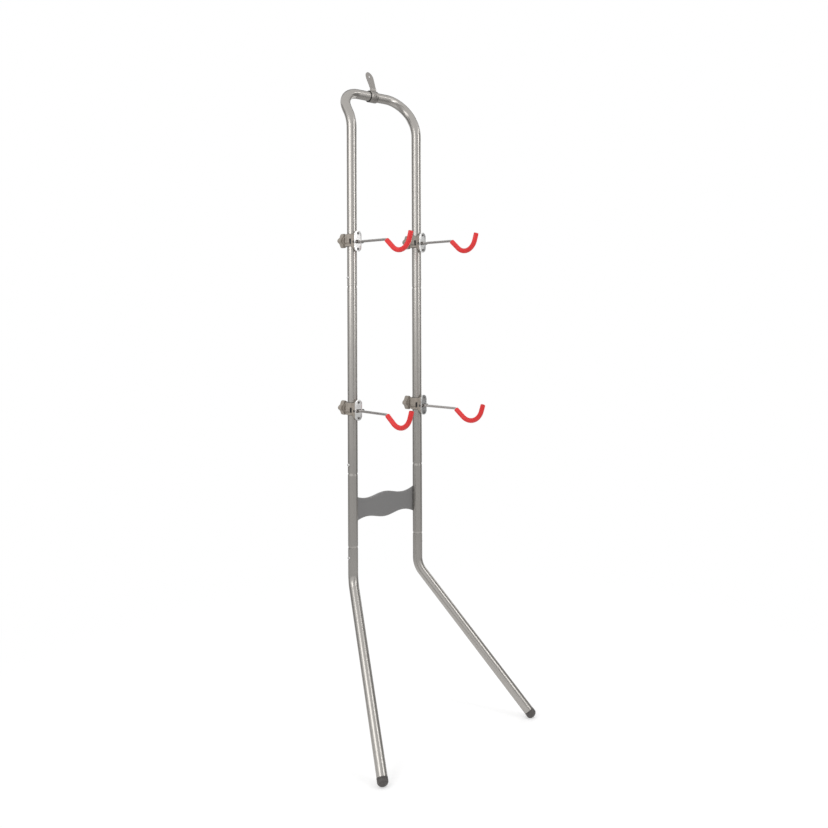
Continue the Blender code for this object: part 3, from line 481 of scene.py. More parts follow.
# Lower and middle tubes
# Straight lengths of the same coated tube. Their ends are swaged down to slide 60 mm into the
# tube that follows, so each joint shows as a short tapered neck.
MALE_RADIUS = 0.0142
SOCKET_DEPTH = 0.060
SWAGE = 0.0075
SWAGE_EASE = 0.0015
MIDDLE_JOINT = 0.809
UPPER_JOINT = 1.4095
swaged = MALE_RADIUS / TUBE_RADIUS
ease = ("run", SWAGE_EASE, 1)
male_end = ("run", SOCKET_DEPTH - SWAGE_EASE, 1)
for hand, side in HANDS.items():
    for part, low, high in (
        ("lower", LOWER_JOINT, MIDDLE_JOINT),
        ("middle", MIDDLE_JOINT, UPPER_JOINT),
    ):
        length = high - low - GAP
        if part == "lower":
            start, radius = low - SOCKET_DEPTH, MALE_RADIUS
            moves = [male_end, ease, ("run", SWAGE, 1 / swaged), ease]
            moves.append(("run", length - 2 * (SWAGE + SWAGE_EASE), 1))
        else:
            start, radius = low, TUBE_RADIUS - TUBE_RIM
            moves = [rounded_rim, ("run", length - TUBE_RIM - SWAGE - SWAGE_EASE, 1)]
        moves += [ease, ("run", SWAGE, swaged), ease, male_end]
        skin = draw_tube(radius, TUBE_SIDES, (side * POST_X, POST_Y, start), (0, 0, 1), moves)
        tube = walled(finished(f"{hand}_{part}_post_tube", skin, silver_coat), TUBE_WALL)
        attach(tube, "frame")
        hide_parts(f"{hand}_{part}_tube")


# Cross plate
# A wavy steel plate with a dark grey satin coat, welded between the lower tubes a little behind
# their middle. Its edges are rolled round, and it is scribed to the tubes at both ends.
PLATE_HEIGHT = 0.688
PLATE_SETBACK = 0.008
PLATE_THICKNESS = 0.006
PLATE_MIDDLE = 0.083
PLATE_NECK = 0.061
PLATE_END = 0.078
PLATE_NECK_FROM_POST = 0.060
PLATE_EDGE = 0.0022
GUNMETAL = (0.285, 0.281, 0.279, 1.0)
GUNMETAL_SHADE = (0.262, 0.258, 0.256, 1.0)


def plate_half_height(x):
    """Half the height of the cross plate at a distance from its middle."""
    neck = POST_X - PLATE_NECK_FROM_POST
    if x < neck:
        share = (1 - math.cos(math.pi * x / neck)) / 2
        return (PLATE_MIDDLE + (PLATE_NECK - PLATE_MIDDLE) * share) / 2
    share = ((x - neck) / (PLATE_NECK_FROM_POST - TUBE_RADIUS)) ** 2
    return (PLATE_NECK + (PLATE_END - PLATE_NECK) * share) / 2


def thickened(bm, thickness):
    """Draws a flat outline out along +Y to a plate."""
    grown = bmesh.ops.extrude_face_region(bm, geom=bm.faces[:])["geom"]
    corners = [piece for piece in grown if isinstance(piece, bmesh.types.BMVert)]
    bmesh.ops.translate(bm, verts=corners, vec=(0, thickness, 0))
    return bm


def rolled(bm, edge_radius, segments, sharper=60, above=-math.inf):
    """Rounds the edges that are sharper than an angle, where they lie above a height."""
    rims = []
    for edge in bm.edges:
        height = (edge.verts[0].co.z + edge.verts[1].co.z) / 2
        if edge.calc_face_angle(0) > math.radians(sharper) and height > above:
            rims.append(edge)
    bmesh.ops.bevel(
        bm, geom=rims, offset=edge_radius, segments=segments, profile=0.5, affect="EDGES",
        material=-1,
    )
    return bm


plate_coat = new_finish(
    "plate_coat", GUNMETAL_SHADE, GUNMETAL, metallic=0.45, roughness=(0.34, 0.46),
    depth=3e-5, grains=(1400, 900, 900),
)
end = POST_X - TUBE_RADIUS / 2
upright = Matrix.Rotation(math.pi / 2, 4, "X")
bm = bmesh.new()
bmesh.ops.create_grid(bm, x_segments=64, y_segments=6, size=1, matrix=upright)
bmesh.ops.scale(bm, verts=bm.verts[:], vec=(end, 1, 1))
for corner in bm.verts:
    corner.co.z *= plate_half_height(abs(corner.co.x))
thickened(bm, PLATE_THICKNESS)
bmesh.ops.translate(bm, verts=bm.verts[:], vec=(0, -PLATE_THICKNESS / 2, 0))
rolled(bm, PLATE_EDGE, segments=4)
for corner in bm.verts:
    depth = corner.co.y + PLATE_SETBACK
    seat = POST_X - math.sqrt((TUBE_RADIUS + GAP) ** 2 - depth**2)
    corner.co.x *= seat / end
bmesh.ops.translate(bm, verts=bm.verts[:], vec=(0, POST_Y + PLATE_SETBACK, PLATE_HEIGHT))
plate = finished("wavy_cross_plate", bm, plate_coat)
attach(plate, "frame")
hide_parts("cross_plate")


# Snap buttons
# Plated steel domes, each riveted to a bent leaf spring inside the swaged end. They spring out
# through both walls on the posts' outer sides and lock the joints.
BUTTON_RADIUS = 0.0048
BUTTON_PROUD = 0.0042
BUTTON_EASE = 0.0004
BUTTON_CROWN = ((1, 0.0026), (0.95, 0.0017), (0.78, 0.0008), (0.45, 0.0002), (0, 0))
BUTTON_STEPS = 28
BUTTON_RISE = 0.0265
BUTTON_DROP = 0.0305
LEAF_WIDTH = 0.008
LEAF_THICKNESS = 0.0008
LEAF_ABOVE = 0.023
LEAF_BELOW = 0.006
LEAF_BEND_RADIUS = 0.003
LEAF_BEND_STEPS = 10
LEAF_RETURN = 0.022
LEAF_SPREAD = math.radians(16)
ZINC = (0.66, 0.65, 0.64, 1.0)
ZINC_SHADE = (0.58, 0.57, 0.56, 1.0)
zinc = new_finish(
    "zinc", ZINC_SHADE, ZINC, metallic=0.9, roughness=(0.20, 0.30),
    depth=5e-6, grains=(420, 90, 1800),
)
male_bore = MALE_RADIUS - TUBE_WALL
leaf_middle = math.sqrt(male_bore**2 - (LEAF_WIDTH / 2) ** 2) - GAP - LEAF_THICKNESS / 2
crown = TUBE_RADIUS + BUTTON_PROUD
button_profile = [(0, leaf_middle), (BUTTON_RADIUS, leaf_middle)]
button_profile += [(BUTTON_RADIUS * out, crown - drop) for out, drop in BUTTON_CROWN]
button_heights = {
    "lower": LOWER_JOINT - BUTTON_DROP,
    "middle": MIDDLE_JOINT + BUTTON_RISE,
    "upper": UPPER_JOINT + BUTTON_RISE,
}
for hand, side in HANDS.items():
    for joint, height in button_heights.items():
        snap = f"{hand}_{joint}_snap_button"
        centre = Vector((side * POST_X, POST_Y, height))
        bm = lathed(eased(button_profile, BUTTON_EASE, steps=2), BUTTON_STEPS)
        pointed(bm, (side, 0, 0), centre)
        button = finished(f"{hand}_{joint}_button", bm, zinc)
        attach(button, snap)
        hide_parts(snap)
        start = centre + Vector((side * leaf_middle, 0, -LEAF_BELOW))
        bm = bmesh.new()
        edge = [bm.verts.new(start + Vector((0, end * LEAF_WIDTH / 2, 0))) for end in (-1, 1)]
        bm.edges.new(edge)
        back = Vector((0, -side, 0))
        moves = [
            ("run", LEAF_ABOVE + LEAF_BELOW, 1),
            ("bend", LEAF_BEND_RADIUS, math.pi - LEAF_SPREAD, back, LEAF_BEND_STEPS),
            ("run", LEAF_RETURN, 1),
        ]
        leaf = finished(f"{hand}_{joint}_button_leaf", drawn_on(bm, start, (0, 0, 1), moves), zinc)
        walled(leaf, LEAF_THICKNESS, offset=0)
        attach(leaf, snap)


# Top arch
# One long tube of the same coated steel makes both upper posts and the arch over them. It leans
# back to the wall in two gentle bends and closes in two round corners.
ARCH_POST_LENGTH = 0.5385
ARCH_LEAN = math.radians(33)
ARCH_LEAN_RADIUS = 0.1025
ARCH_LEAN_STEPS = 14
ARCH_TOP_RISE = 0.1215
ARCH_CORNER_RADIUS = 0.0786
ARCH_CORNER_STEPS = 28
x_axis = Vector((1, 0, 0))
lean_tangent = ARCH_LEAN_RADIUS * math.tan(ARCH_LEAN / 2)
up_and_back = Vector((0, math.sin(ARCH_LEAN), math.cos(ARCH_LEAN)))
arch_turn = up_and_back.cross(x_axis)
corner_bend = ("bend", ARCH_CORNER_RADIUS, math.pi / 2, arch_turn, ARCH_CORNER_STEPS)
lean_run = ("run", ARCH_TOP_RISE - lean_tangent - ARCH_CORNER_RADIUS, 1)
post_run = ("run", ARCH_POST_LENGTH - lean_tangent - TUBE_RIM, 1)
moves = [
    rounded_rim,
    post_run,
    ("bend", ARCH_LEAN_RADIUS, ARCH_LEAN, -x_axis, ARCH_LEAN_STEPS),
    lean_run,
    corner_bend,
    ("run", 2 * (POST_X - ARCH_CORNER_RADIUS), 1),
    corner_bend,
    lean_run,
    ("bend", ARCH_LEAN_RADIUS, ARCH_LEAN, x_axis, ARCH_LEAN_STEPS),
    post_run,
    ("run", TUBE_RIM, (TUBE_RADIUS - TUBE_RIM) / TUBE_RADIUS),
]
foot = Vector((-POST_X, POST_Y, UPPER_JOINT))
skin = draw_tube(TUBE_RADIUS - TUBE_RIM, TUBE_SIDES, foot, (0, 0, 1), moves)
arch = walled(finished("bent_top_arch", skin, silver_coat), TUBE_WALL)
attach(arch, "frame")
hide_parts("top_arch")


# Button holes
# Round holes drilled through both tubes at each joint, a little wider than the button that springs
# out through them.


def solid(bm, place=(0, 0, 0), turn=None):
    """A closed solid to be worked on or to work with, put in its place."""
    if turn is not None:
        bmesh.ops.transform(bm, matrix=turn, verts=bm.verts[:])
    bmesh.ops.translate(bm, verts=bm.verts[:], vec=place)
    bmesh.ops.recalc_face_normals(bm, faces=bm.faces[:])
    return linked("solid", bm)


def turning(profile, axis, place=(0, 0, 0), steps=LATHE_STEPS):
    """A solid turned about an axis through its place."""
    return solid(pointed(lathed(profile, steps), axis, place))


def rod(radius, low, high, axis, place=(0, 0, 0), steps=28):
    """A plain round solid along an axis, from low to high measured from its place."""
    return turning([(0, low), (radius, low), (radius, high), (0, high)], axis, place, steps)


def settled(piece):
    """Applies a piece's modifiers to its mesh."""
    shape = piece.evaluated_get(bpy.context.evaluated_depsgraph_get())
    mesh = bpy.data.meshes.new_from_object(shape)
    piece.modifiers.clear()
    piece.data = mesh
    return piece


def worked(piece, operation, others):
    """Joins other solids to a piece or cuts them from it, and removes them."""
    for other in others:
        step = piece.modifiers.new(other.name, "BOOLEAN")
        step.operation = operation
        step.object = other
    settled(piece)
    for other in others:
        bpy.data.objects.remove(other)
    return piece


drilled = {"bent_top_arch": [(-1, "upper"), (1, "upper")]}
for hand, side in HANDS.items():
    drilled[f"{hand}_middle_post_tube"] = [(side, "upper"), (side, "middle")]
    drilled[f"{hand}_lower_post_tube"] = [(side, "middle"), (side, "lower")]
    drilled[f"{hand}_bent_leg"] = [(side, "lower")]
for name, marks in drilled.items():
    drills = []
    for side, joint in marks:
        centre = Vector((side * POST_X, POST_Y, button_heights[joint]))
        inner, outer = MALE_RADIUS / 2, 2 * TUBE_RADIUS
        drills.append(rod(BUTTON_RADIUS + GAP, inner, outer, (side, 0, 0), centre))
    tube = worked(bpy.data.objects[name], "DIFFERENCE", drills)
    tube.data.set_sharp_from_angle(angle=math.radians(ROUND_BELOW))


# Wall tab liner
# A black nylon sleeve round the middle of the arch keeps the steel band from scratching the coat.
LINER_WALL = 0.0012
LINER_WIDTH = 0.0335
LINER_STEPS = 64
HOOP_EDGE = 0.0005
BLACK = (0.018, 0.018, 0.018, 1.0)
BLACK_WORN = (0.03, 0.03, 0.03, 1.0)
black_nylon = new_finish(
    "black_nylon", BLACK, BLACK_WORN, metallic=0, roughness=(0.38, 0.52),
    depth=5e-5, grains=(1300, 1300, 1300),
)
tab_low, tab_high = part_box("wall_tab_liner")
arch_top = (tab_low + tab_high) / 2


def hoop(bore, outer, width, steps, edge_steps=4):
    """A hoop with soft edges round the middle of the arch."""
    half = width / 2
    ring = [(bore, 0), (bore, -half), (outer, -half), (outer, half), (bore, half), (bore, 0)]
    return pointed(lathed(eased(ring, HOOP_EDGE, edge_steps)[:-1], steps), x_axis, arch_top)


bore = TUBE_RADIUS + GAP
bm = hoop(bore, bore + LINER_WALL, LINER_WIDTH, LINER_STEPS)
liner = finished("tab_liner_sleeve", bm, black_nylon)
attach(liner, "frame")
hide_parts("wall_tab_liner")


# Wall tab
# Zinc-plated steel strip, rolled into a band round the liner, with a tongue that stands up and
# bends back along the wall. The countersunk hole near its round crown takes the wall screw.
TAB_BAND_WIDTH = 0.030
TAB_BAND_STEPS = 72
TAB_NECK_WIDTH = 0.0255
TAB_WIDTH = 0.0315
TAB_THICKNESS = 0.0020
TAB_EDGE = 0.0005
TAB_MERGE = 1e-5
TAB_LENGTH = 0.067
TAB_CROWN = 0.022
TAB_LEAN = math.radians(23.5)
TAB_BEND_RISE = 0.0257
TAB_BEND_ZONE = 0.0018
TAB_FOOT_FORWARD = 0.0055
TAB_HOLE_RADIUS = 0.0026
TAB_HOLE_FROM_TOP = 0.0185
TAB_COUNTERSINK = 0.0054
TAB_COUNTERSINK_DEPTH = 0.0015
TAB_SCREW_RADIUS = 0.0024
TAB_SCREW_HEAD = 0.0060
TAB_ZINC = (0.35, 0.333, 0.312, 1.0)
TAB_ZINC_SHADE = (0.28, 0.265, 0.248, 1.0)
BAND_BORE = bore + LINER_WALL + GAP
BAND_RADIUS = BAND_BORE + TAB_THICKNESS


def back_to_bmesh(piece):
    """Takes a solid's mesh back into a bmesh and removes the solid."""
    bm = bmesh.new()
    bm.from_mesh(piece.data)
    bpy.data.objects.remove(piece)
    return bm


def tongue_half_width(rise):
    """Half the tongue's width at a rise above its bend."""
    shoulder = TAB_LENGTH - TAB_CROWN
    if rise > shoulder:
        return TAB_WIDTH / 2 * math.sqrt(max(0, 1 - ((rise - shoulder) / TAB_CROWN) ** 2))
    share = (1 - math.cos(math.pi * max(0, rise) / shoulder)) / 2
    return (TAB_NECK_WIDTH + (TAB_WIDTH - TAB_NECK_WIDTH) * share) / 2


tab_zinc = new_finish(
    "tab_zinc", TAB_ZINC_SHADE, TAB_ZINC, metallic=0.9, roughness=(0.28, 0.42),
    depth=5e-6, grains=(420, 90, 1800),
)
bm = bmesh.new()
bmesh.ops.create_grid(bm, x_segments=20, y_segments=60, size=1)
root = TAB_BEND_RISE - BAND_RADIUS + TAB_THICKNESS / 2
for corner in bm.verts:
    share = (corner.co.y + 1) / 2
    rise = -root + (TAB_LENGTH + root) * math.sin(share * math.pi / 2)
    corner.co = Vector((corner.co.x * tongue_half_width(rise), 0, rise))
bmesh.ops.remove_doubles(bm, verts=bm.verts[:], dist=TAB_MERGE)
thickened(bm, TAB_THICKNESS)
bmesh.ops.translate(bm, verts=bm.verts[:], vec=(0, -TAB_THICKNESS / 2, 0))
rolled(bm, TAB_EDGE, segments=3, above=0)
for corner in bm.verts:
    share = min(1, max(0, (corner.co.z + TAB_BEND_ZONE) / (2 * TAB_BEND_ZONE)))
    angle = TAB_LEAN * share
    corner.co = Matrix.Rotation(-angle, 3, "X") @ corner.co
bend = arch_top + Vector((0, -TAB_FOOT_FORWARD, TAB_BEND_RISE))
tongue = solid(bm, bend)
band = solid(hoop(BAND_BORE, BAND_RADIUS, TAB_BAND_WIDTH, TAB_BAND_STEPS, edge_steps=3))
worked(band, "UNION", [tongue])
taper = (TAB_COUNTERSINK - TAB_HOLE_RADIUS) / TAB_COUNTERSINK_DEPTH
skin = TAB_THICKNESS / 2
bit = [
    (0, -2 * skin),
    (TAB_COUNTERSINK + taper * skin, -2 * skin),
    (TAB_HOLE_RADIUS, TAB_COUNTERSINK_DEPTH - skin),
    (TAB_HOLE_RADIUS, 2 * skin),
    (0, 2 * skin),
]
y_axis = Vector((0, 1, 0))
through = Vector((0, math.cos(TAB_LEAN), -math.sin(TAB_LEAN)))
along = Vector((0, math.sin(TAB_LEAN), math.cos(TAB_LEAN)))
hole_place = bend + along * (TAB_LENGTH - TAB_HOLE_FROM_TOP)
spot_depth = math.sqrt(BAND_RADIUS**2 - (TAB_SCREW_HEAD + GAP) ** 2)
cutters = [
    turning(bit, through, hole_place, steps=32),
    rod(TAB_SCREW_RADIUS + GAP, -2 * BAND_RADIUS, -TUBE_RADIUS, y_axis, arch_top),
    rod(TAB_SCREW_HEAD + GAP, -2 * BAND_RADIUS, -spot_depth, y_axis, arch_top, steps=36),
]
worked(band, "DIFFERENCE", cutters)
tab = finished("wall_tab_band", back_to_bmesh(band), tab_zinc)
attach(tab, "frame")
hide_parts("wall_tab")


# Wall tab screw
# A zinc-plated oval-head screw with a crossed recess, in a spot facing on the band's front. It
# holds the band and the liner on the arch.
OVAL_HEAD = (
    (0, 0.0030), (0.0022, 0.0029), (0.0042, 0.0023), (0.0055, 0.0013), (0.0060, 0.0006),
    (0.0060, 0),
)
TAB_SCREW_LENGTH = 0.009
TAB_SCREW_TAPER = 0.0015
TAB_SCREW_POINT = 0.0008
RECESS_SPAN = 0.0056
RECESS_WIDTH = 0.0010
RECESS_DEPTH = 0.002
seat = -spot_depth - GAP
tip = seat + TAB_SCREW_LENGTH
profile = [(radius, seat - rise) for radius, rise in OVAL_HEAD]
profile += [
    (TAB_SCREW_RADIUS, seat),
    (TAB_SCREW_RADIUS, tip - TAB_SCREW_TAPER),
    (TAB_SCREW_POINT, tip),
    (0, tip),
]
screw = turning(profile, y_axis, arch_top, steps=36)
cutters = []
for across, upright in ((RECESS_SPAN, RECESS_WIDTH), (RECESS_WIDTH, RECESS_SPAN)):
    bm = bmesh.new()
    bmesh.ops.create_cube(bm, size=1)
    bmesh.ops.scale(bm, verts=bm.verts[:], vec=(across, 2 * RECESS_DEPTH, upright))
    cutters.append(solid(bm, arch_top + Vector((0, profile[0][1], 0))))
worked(screw, "DIFFERENCE", cutters)
screw = finished("tab_band_screw", back_to_bmesh(screw), tab_zinc)
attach(screw, "frame")
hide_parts("wall_tab_screw")


# Clamp liners
# Thin black nylon sleeves, slit at the front, that the clamps slide and turn on. A sliver of each
# shows above and below its clamp.
CLAMP_LINER_BORE = 0.0163
CLAMP_LINER_RADIUS = 0.0174
CLAMP_LINER_HALF = 0.0205
SLIT_ANGLE = math.radians(6.6)
CLAMP_TURNS = {"upper_left": 0, "upper_right": 0, "lower_left": 0, "lower_right": math.radians(6)}
clamp_places = {}
for prefix, turn in CLAMP_TURNS.items():
    low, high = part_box(f"{prefix}_clamp_liner")
    side = HANDS[prefix.split("_")[1]]
    middle = Vector((side * POST_X, POST_Y, (low.z + high.z) / 2))
    clamp_places[prefix] = Matrix.Translation(middle) @ Matrix.Rotation(turn, 4, "Z")


def four_of(name, bm, finish, body, node, angle=ROUND_BELOW):
    """Copies a piece modelled about the post's axis to each clamp, on its body, for its node."""
    pieces = []
    for prefix, place in clamp_places.items():
        copy = bm.copy()
        bmesh.ops.transform(copy, matrix=place, verts=copy.verts[:])
        piece = finished(f"{prefix}_{name}", copy, finish, angle)
        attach(piece, f"{prefix}_{body}")
        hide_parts(f"{prefix}_{node}")
        pieces.append(piece)
    bm.free()
    return pieces


def turned(bm, angle):
    """Turns a piece about the post's axis."""
    about = Matrix.Rotation(angle, 3, "Z")
    bmesh.ops.rotate(bm, verts=bm.verts[:], cent=(0, 0, 0), matrix=about)
    return bm


def swept(corners, start, sweep, steps):
    """A section swept about the post's axis, from a first turn on."""
    bm = bmesh.new()
    bm.faces.new([bm.verts.new(corner) for corner in corners])
    turned(bm, start)
    bmesh.ops.spin(
        bm, geom=all_of(bm), cent=(0, 0, 0), axis=(0, 0, 1), angle=sweep, steps=steps,
    )
    return bm


section = [
    (0, -CLAMP_LINER_BORE, -CLAMP_LINER_HALF),
    (0, -CLAMP_LINER_RADIUS, -CLAMP_LINER_HALF),
    (0, -CLAMP_LINER_RADIUS, CLAMP_LINER_HALF),
    (0, -CLAMP_LINER_BORE, CLAMP_LINER_HALF),
]
bm = swept(section, SLIT_ANGLE / 2, 2 * math.pi - SLIT_ANGLE, LINER_STEPS)
four_of("liner_sleeve", bm, black_nylon, "slider", "clamp_liner")


# Clamp bodies
# Clamps moulded in warm grey glass-filled nylon: a ring on the post, a tall block in front that
# holds the arm, and a boss behind for the knob. A window in the ring shows the liner.
CLAMP_BORE = 0.0177
RING_RADIUS = 0.0225
RING_HEIGHT = 0.039
BLOCK_WIDTH = 0.0275
BLOCK_HEIGHT = 0.0665
BLOCK_BACK_HEIGHT = 0.046
BLOCK_DEPTH = 0.0165
BLOCK_DROP = 0.0034
BLOCK_FRONT = 0.0287
BOSS_RADIUS = 0.010
BOSS_BACK = 0.0265
POCKET_RADIUS = 0.0049
POCKET_LENGTH = 0.0231
POCKET_REACH = 0.030
PIVOT_FORWARD = 0.0241
PIVOT_DROP = 0.0058
PIVOT_BOLT_RADIUS = 0.0022
PIVOT_HEAD_RADIUS = 0.0038
PIVOT_HEAD_SINK = 0.0015
COVER_SCREW_SPACING = 0.050
COVER_SCREW_RADIUS = 0.0022
COVER_SCREW_END = 0.0219
PAD_RADIUS = 0.006
PAD_RECESS = 0.0219
STUD_RADIUS = 0.004
WINDOW = (-0.0122, 0.0045)
WINDOW_WIDTH = 0.0062
WINDOW_BITE = 0.012
WINDOW_TURN = math.radians(36)
GROOVE = (-0.0134, -0.0088)
GROOVE_FLOOR = 0.0186
GROOVE_TURNS = (math.radians(-40), math.radians(44))
MOULD_VOXEL = 0.0007
MOULD_SOFTENING = 6
WARM_GREY = (0.400, 0.356, 0.306, 1.0)
WARM_SHADE = (0.325, 0.288, 0.246, 1.0)
z_axis = Vector((0, 0, 1))
pivot = Vector((0, -PIVOT_FORWARD, -PIVOT_DROP))
half_width = BLOCK_WIDTH / 2


def stadium(width, height, steps=14):
    """The points of an outline in X and Z with two round ends, upright or lying."""
    radius = min(width, height) / 2
    reach = (max(width, height) - min(width, height)) / 2
    points = []
    for end in (1, -1):
        for k in range(steps + 1):
            angle = math.pi * (k / steps) + (0 if end == 1 else math.pi)
            points.append((radius * math.cos(angle), radius * math.sin(angle) + end * reach))
    return points if height > width else [(z, -x) for x, z in points]


def slab(points, low, high):
    """A plate from an outline in X and Z, between two places along Y."""
    bm = bmesh.new()
    bm.faces.new([bm.verts.new((x, low, z)) for x, z in points])
    return thickened(bm, high - low)


warm_grey = new_finish(
    "warm_grey", WARM_SHADE, WARM_GREY, metallic=0, roughness=(0.40, 0.56),
    depth=5e-5, grains=(110, 110, 1100), detail=5.0, ends=(0.36, 0.62),
)
moulding = rod(RING_RADIUS, -RING_HEIGHT / 2, RING_HEIGHT / 2, z_axis, steps=96)
block = slab(stadium(BLOCK_WIDTH, BLOCK_HEIGHT), -BLOCK_FRONT, BLOCK_DEPTH - BLOCK_FRONT)
for corner in block.verts:
    if corner.co.y > -BLOCK_FRONT + BLOCK_DEPTH / 2:
        corner.co.z *= BLOCK_BACK_HEIGHT / BLOCK_HEIGHT
boss = rod(BOSS_RADIUS, 0, BOSS_BACK, y_axis, steps=48)
worked(moulding, "UNION", [solid(block, (0, 0, -BLOCK_DROP)), boss])
middle, tall = (WINDOW[0] + WINDOW[1]) / 2, WINDOW[1] - WINDOW[0]
window = bmesh.new()
bmesh.ops.create_cube(window, size=1)
bmesh.ops.scale(window, verts=window.verts[:], vec=(WINDOW_BITE, WINDOW_WIDTH, tall))
bmesh.ops.translate(window, verts=window.verts[:], vec=(-RING_RADIUS, 0, middle))
turned(window, WINDOW_TURN)
section = [
    (-GROOVE_FLOOR, 0, GROOVE[0]),
    (-2 * RING_RADIUS, 0, GROOVE[0]),
    (-2 * RING_RADIUS, 0, GROOVE[1]),
    (-GROOVE_FLOOR, 0, GROOVE[1]),
]
groove = swept(section, GROOVE_TURNS[0], GROOVE_TURNS[1] - GROOVE_TURNS[0], steps=16)
worked(moulding, "DIFFERENCE", [solid(window), solid(groove)])
step = moulding.modifiers.new("mould", "REMESH")
step.mode = "VOXEL"
step.voxel_size = MOULD_VOXEL
moulding.modifiers.new("soften", "SMOOTH").iterations = MOULD_SOFTENING
settled(moulding)
pocket = slab(stadium(2 * POCKET_RADIUS, POCKET_REACH), -POCKET_LENGTH / 2, POCKET_LENGTH / 2)
lying = Matrix.Rotation(math.pi / 2, 4, "Z") @ Matrix.Rotation(math.pi / 2, 4, "Y")
ahead_of_pivot = pivot - Vector((0, POCKET_REACH / 2 - POCKET_RADIUS, 0))
cutters = [
    rod(CLAMP_BORE, -BLOCK_HEIGHT, BLOCK_HEIGHT, z_axis, steps=64),
    solid(pocket, ahead_of_pivot, lying),
    rod(PIVOT_BOLT_RADIUS + GAP, -BLOCK_WIDTH, BLOCK_WIDTH, x_axis, pivot),
    rod(PIVOT_HEAD_RADIUS + GAP, -BLOCK_WIDTH, PIVOT_HEAD_SINK - half_width, x_axis, pivot),
    rod(PAD_RADIUS + GAP, 0, PAD_RECESS, y_axis),
    rod(STUD_RADIUS + GAP, 0, 2 * BOSS_BACK, y_axis),
]
for end in (-1, 1):
    height = end * COVER_SCREW_SPACING / 2 - BLOCK_DROP
    ends = (-2 * BLOCK_FRONT, -COVER_SCREW_END)
    cutters.append(rod(COVER_SCREW_RADIUS + GAP, *ends, y_axis, (0, 0, height)))
worked(moulding, "DIFFERENCE", cutters)
moulding = back_to_bmesh(moulding)
four_of("moulded_clamp", moulding, warm_grey, "clamp", "clamp_body", 50)


# Cover plates
# Bright plated steel plates on the clamps' fronts, brushed across. The slot lets the arm tilt, and
# two screws hold the plate.
COVER_BACK = 0.0290
COVER_FRONT = 0.0312
COVER_LIP = 0.0005
COVER_EDGE = 0.0006
ARM_TILT = math.radians(10)
ARM_RADIUS = 0.004
BRIGHT = (0.80, 0.80, 0.79, 1.0)
BRIGHT_SHADE = (0.72, 0.72, 0.71, 1.0)
bright_cover = new_finish(
    "bright_cover", BRIGHT_SHADE, BRIGHT, metallic=0.9, roughness=(0.24, 0.36),
    depth=4e-6, grains=(2200, 2200, 2200), stretch=(0.04, 1, 1),
)
outline = stadium(BLOCK_WIDTH + 2 * COVER_LIP, BLOCK_HEIGHT + 2 * COVER_LIP, steps=24)
cover = solid(rolled(slab(outline, -COVER_FRONT, -COVER_BACK), COVER_EDGE, segments=3))
swing = (COVER_FRONT - PIVOT_FORWARD) * math.tan(ARM_TILT) + ARM_RADIUS / math.cos(ARM_TILT) + GAP
slot = slab(stadium(POCKET_LENGTH, 2 * swing), -2 * COVER_FRONT, 0)
cutters = [solid(slot, (0, 0, BLOCK_DROP - PIVOT_DROP))]
for end in (-1, 1):
    height = end * COVER_SCREW_SPACING / 2
    cutters.append(rod(COVER_SCREW_RADIUS + GAP, -2 * COVER_FRONT, 0, y_axis, (0, 0, height)))
worked(cover, "DIFFERENCE", cutters)
bm = back_to_bmesh(cover)
bmesh.ops.translate(bm, verts=bm.verts[:], vec=(0, 0, -BLOCK_DROP))
four_of("bright_cover", bm, bright_cover, "clamp", "cover_plate")


# Cover screws
# Button-head screws in dark steel with a hexagon socket, two in each cover plate. They are driven
# into the clamp's block.
HEAD_RADIUS = 0.0042
HEAD_DOME = 0.0022
HEAD_RIM = 0.15
HEAD_STEPS = 8
SOCKET_RADIUS = 0.0019
SOCKET_SINK = 0.0014
COVER_SCREW_BITE = 0.0065
COVER_SCREW_TAPER = 0.0008
COVER_SCREW_POINT = 0.0006
DARK_STEEL = (0.13, 0.126, 0.122, 1.0)
DARK_STEEL_WORN = (0.20, 0.195, 0.19, 1.0)


def hexagon(radius, length, axis_turn, place):
    """A bar with six flats, as a bmesh."""
    bm = bmesh.new()
    bmesh.ops.create_cone(
        bm, cap_ends=True, segments=6, radius1=radius, radius2=radius, depth=length,
        matrix=Matrix.Translation(place) @ axis_turn,
    )
    return bm


dark_steel = new_finish(
    "dark_steel", DARK_STEEL, DARK_STEEL_WORN, metallic=0.9, roughness=(0.22, 0.34),
    depth=2e-5, grains=(300, 700, 1600),
)
seat = -COVER_FRONT - GAP
tip = -BLOCK_FRONT + COVER_SCREW_BITE
profile = []
for k in range(HEAD_STEPS + 1):
    angle = math.radians(90 * k / HEAD_STEPS)
    rise = HEAD_DOME * (HEAD_RIM + (1 - HEAD_RIM) * math.cos(angle))
    profile.append((HEAD_RADIUS * math.sin(angle), seat - rise))
profile += [
    (HEAD_RADIUS, seat),
    (COVER_SCREW_RADIUS, seat),
    (COVER_SCREW_RADIUS, tip - COVER_SCREW_TAPER),
    (COVER_SCREW_RADIUS - COVER_SCREW_POINT, tip),
    (0, tip),
]
along_y = Matrix.Rotation(math.pi / 2, 4, "X")
for end, part in ((1, "upper"), (-1, "lower")):
    screw = turning(profile, y_axis, steps=32)
    socket = hexagon(SOCKET_RADIUS, 2 * SOCKET_SINK, along_y, (0, seat - HEAD_DOME, 0))
    worked(screw, "DIFFERENCE", [solid(socket)])
    bm = back_to_bmesh(screw)
    height = end * COVER_SCREW_SPACING / 2 - BLOCK_DROP
    bmesh.ops.translate(bm, verts=bm.verts[:], vec=(0, 0, height))
    four_of(f"{part}_socket_screw", bm, dark_steel, "clamp", f"{part}_cover_screw")


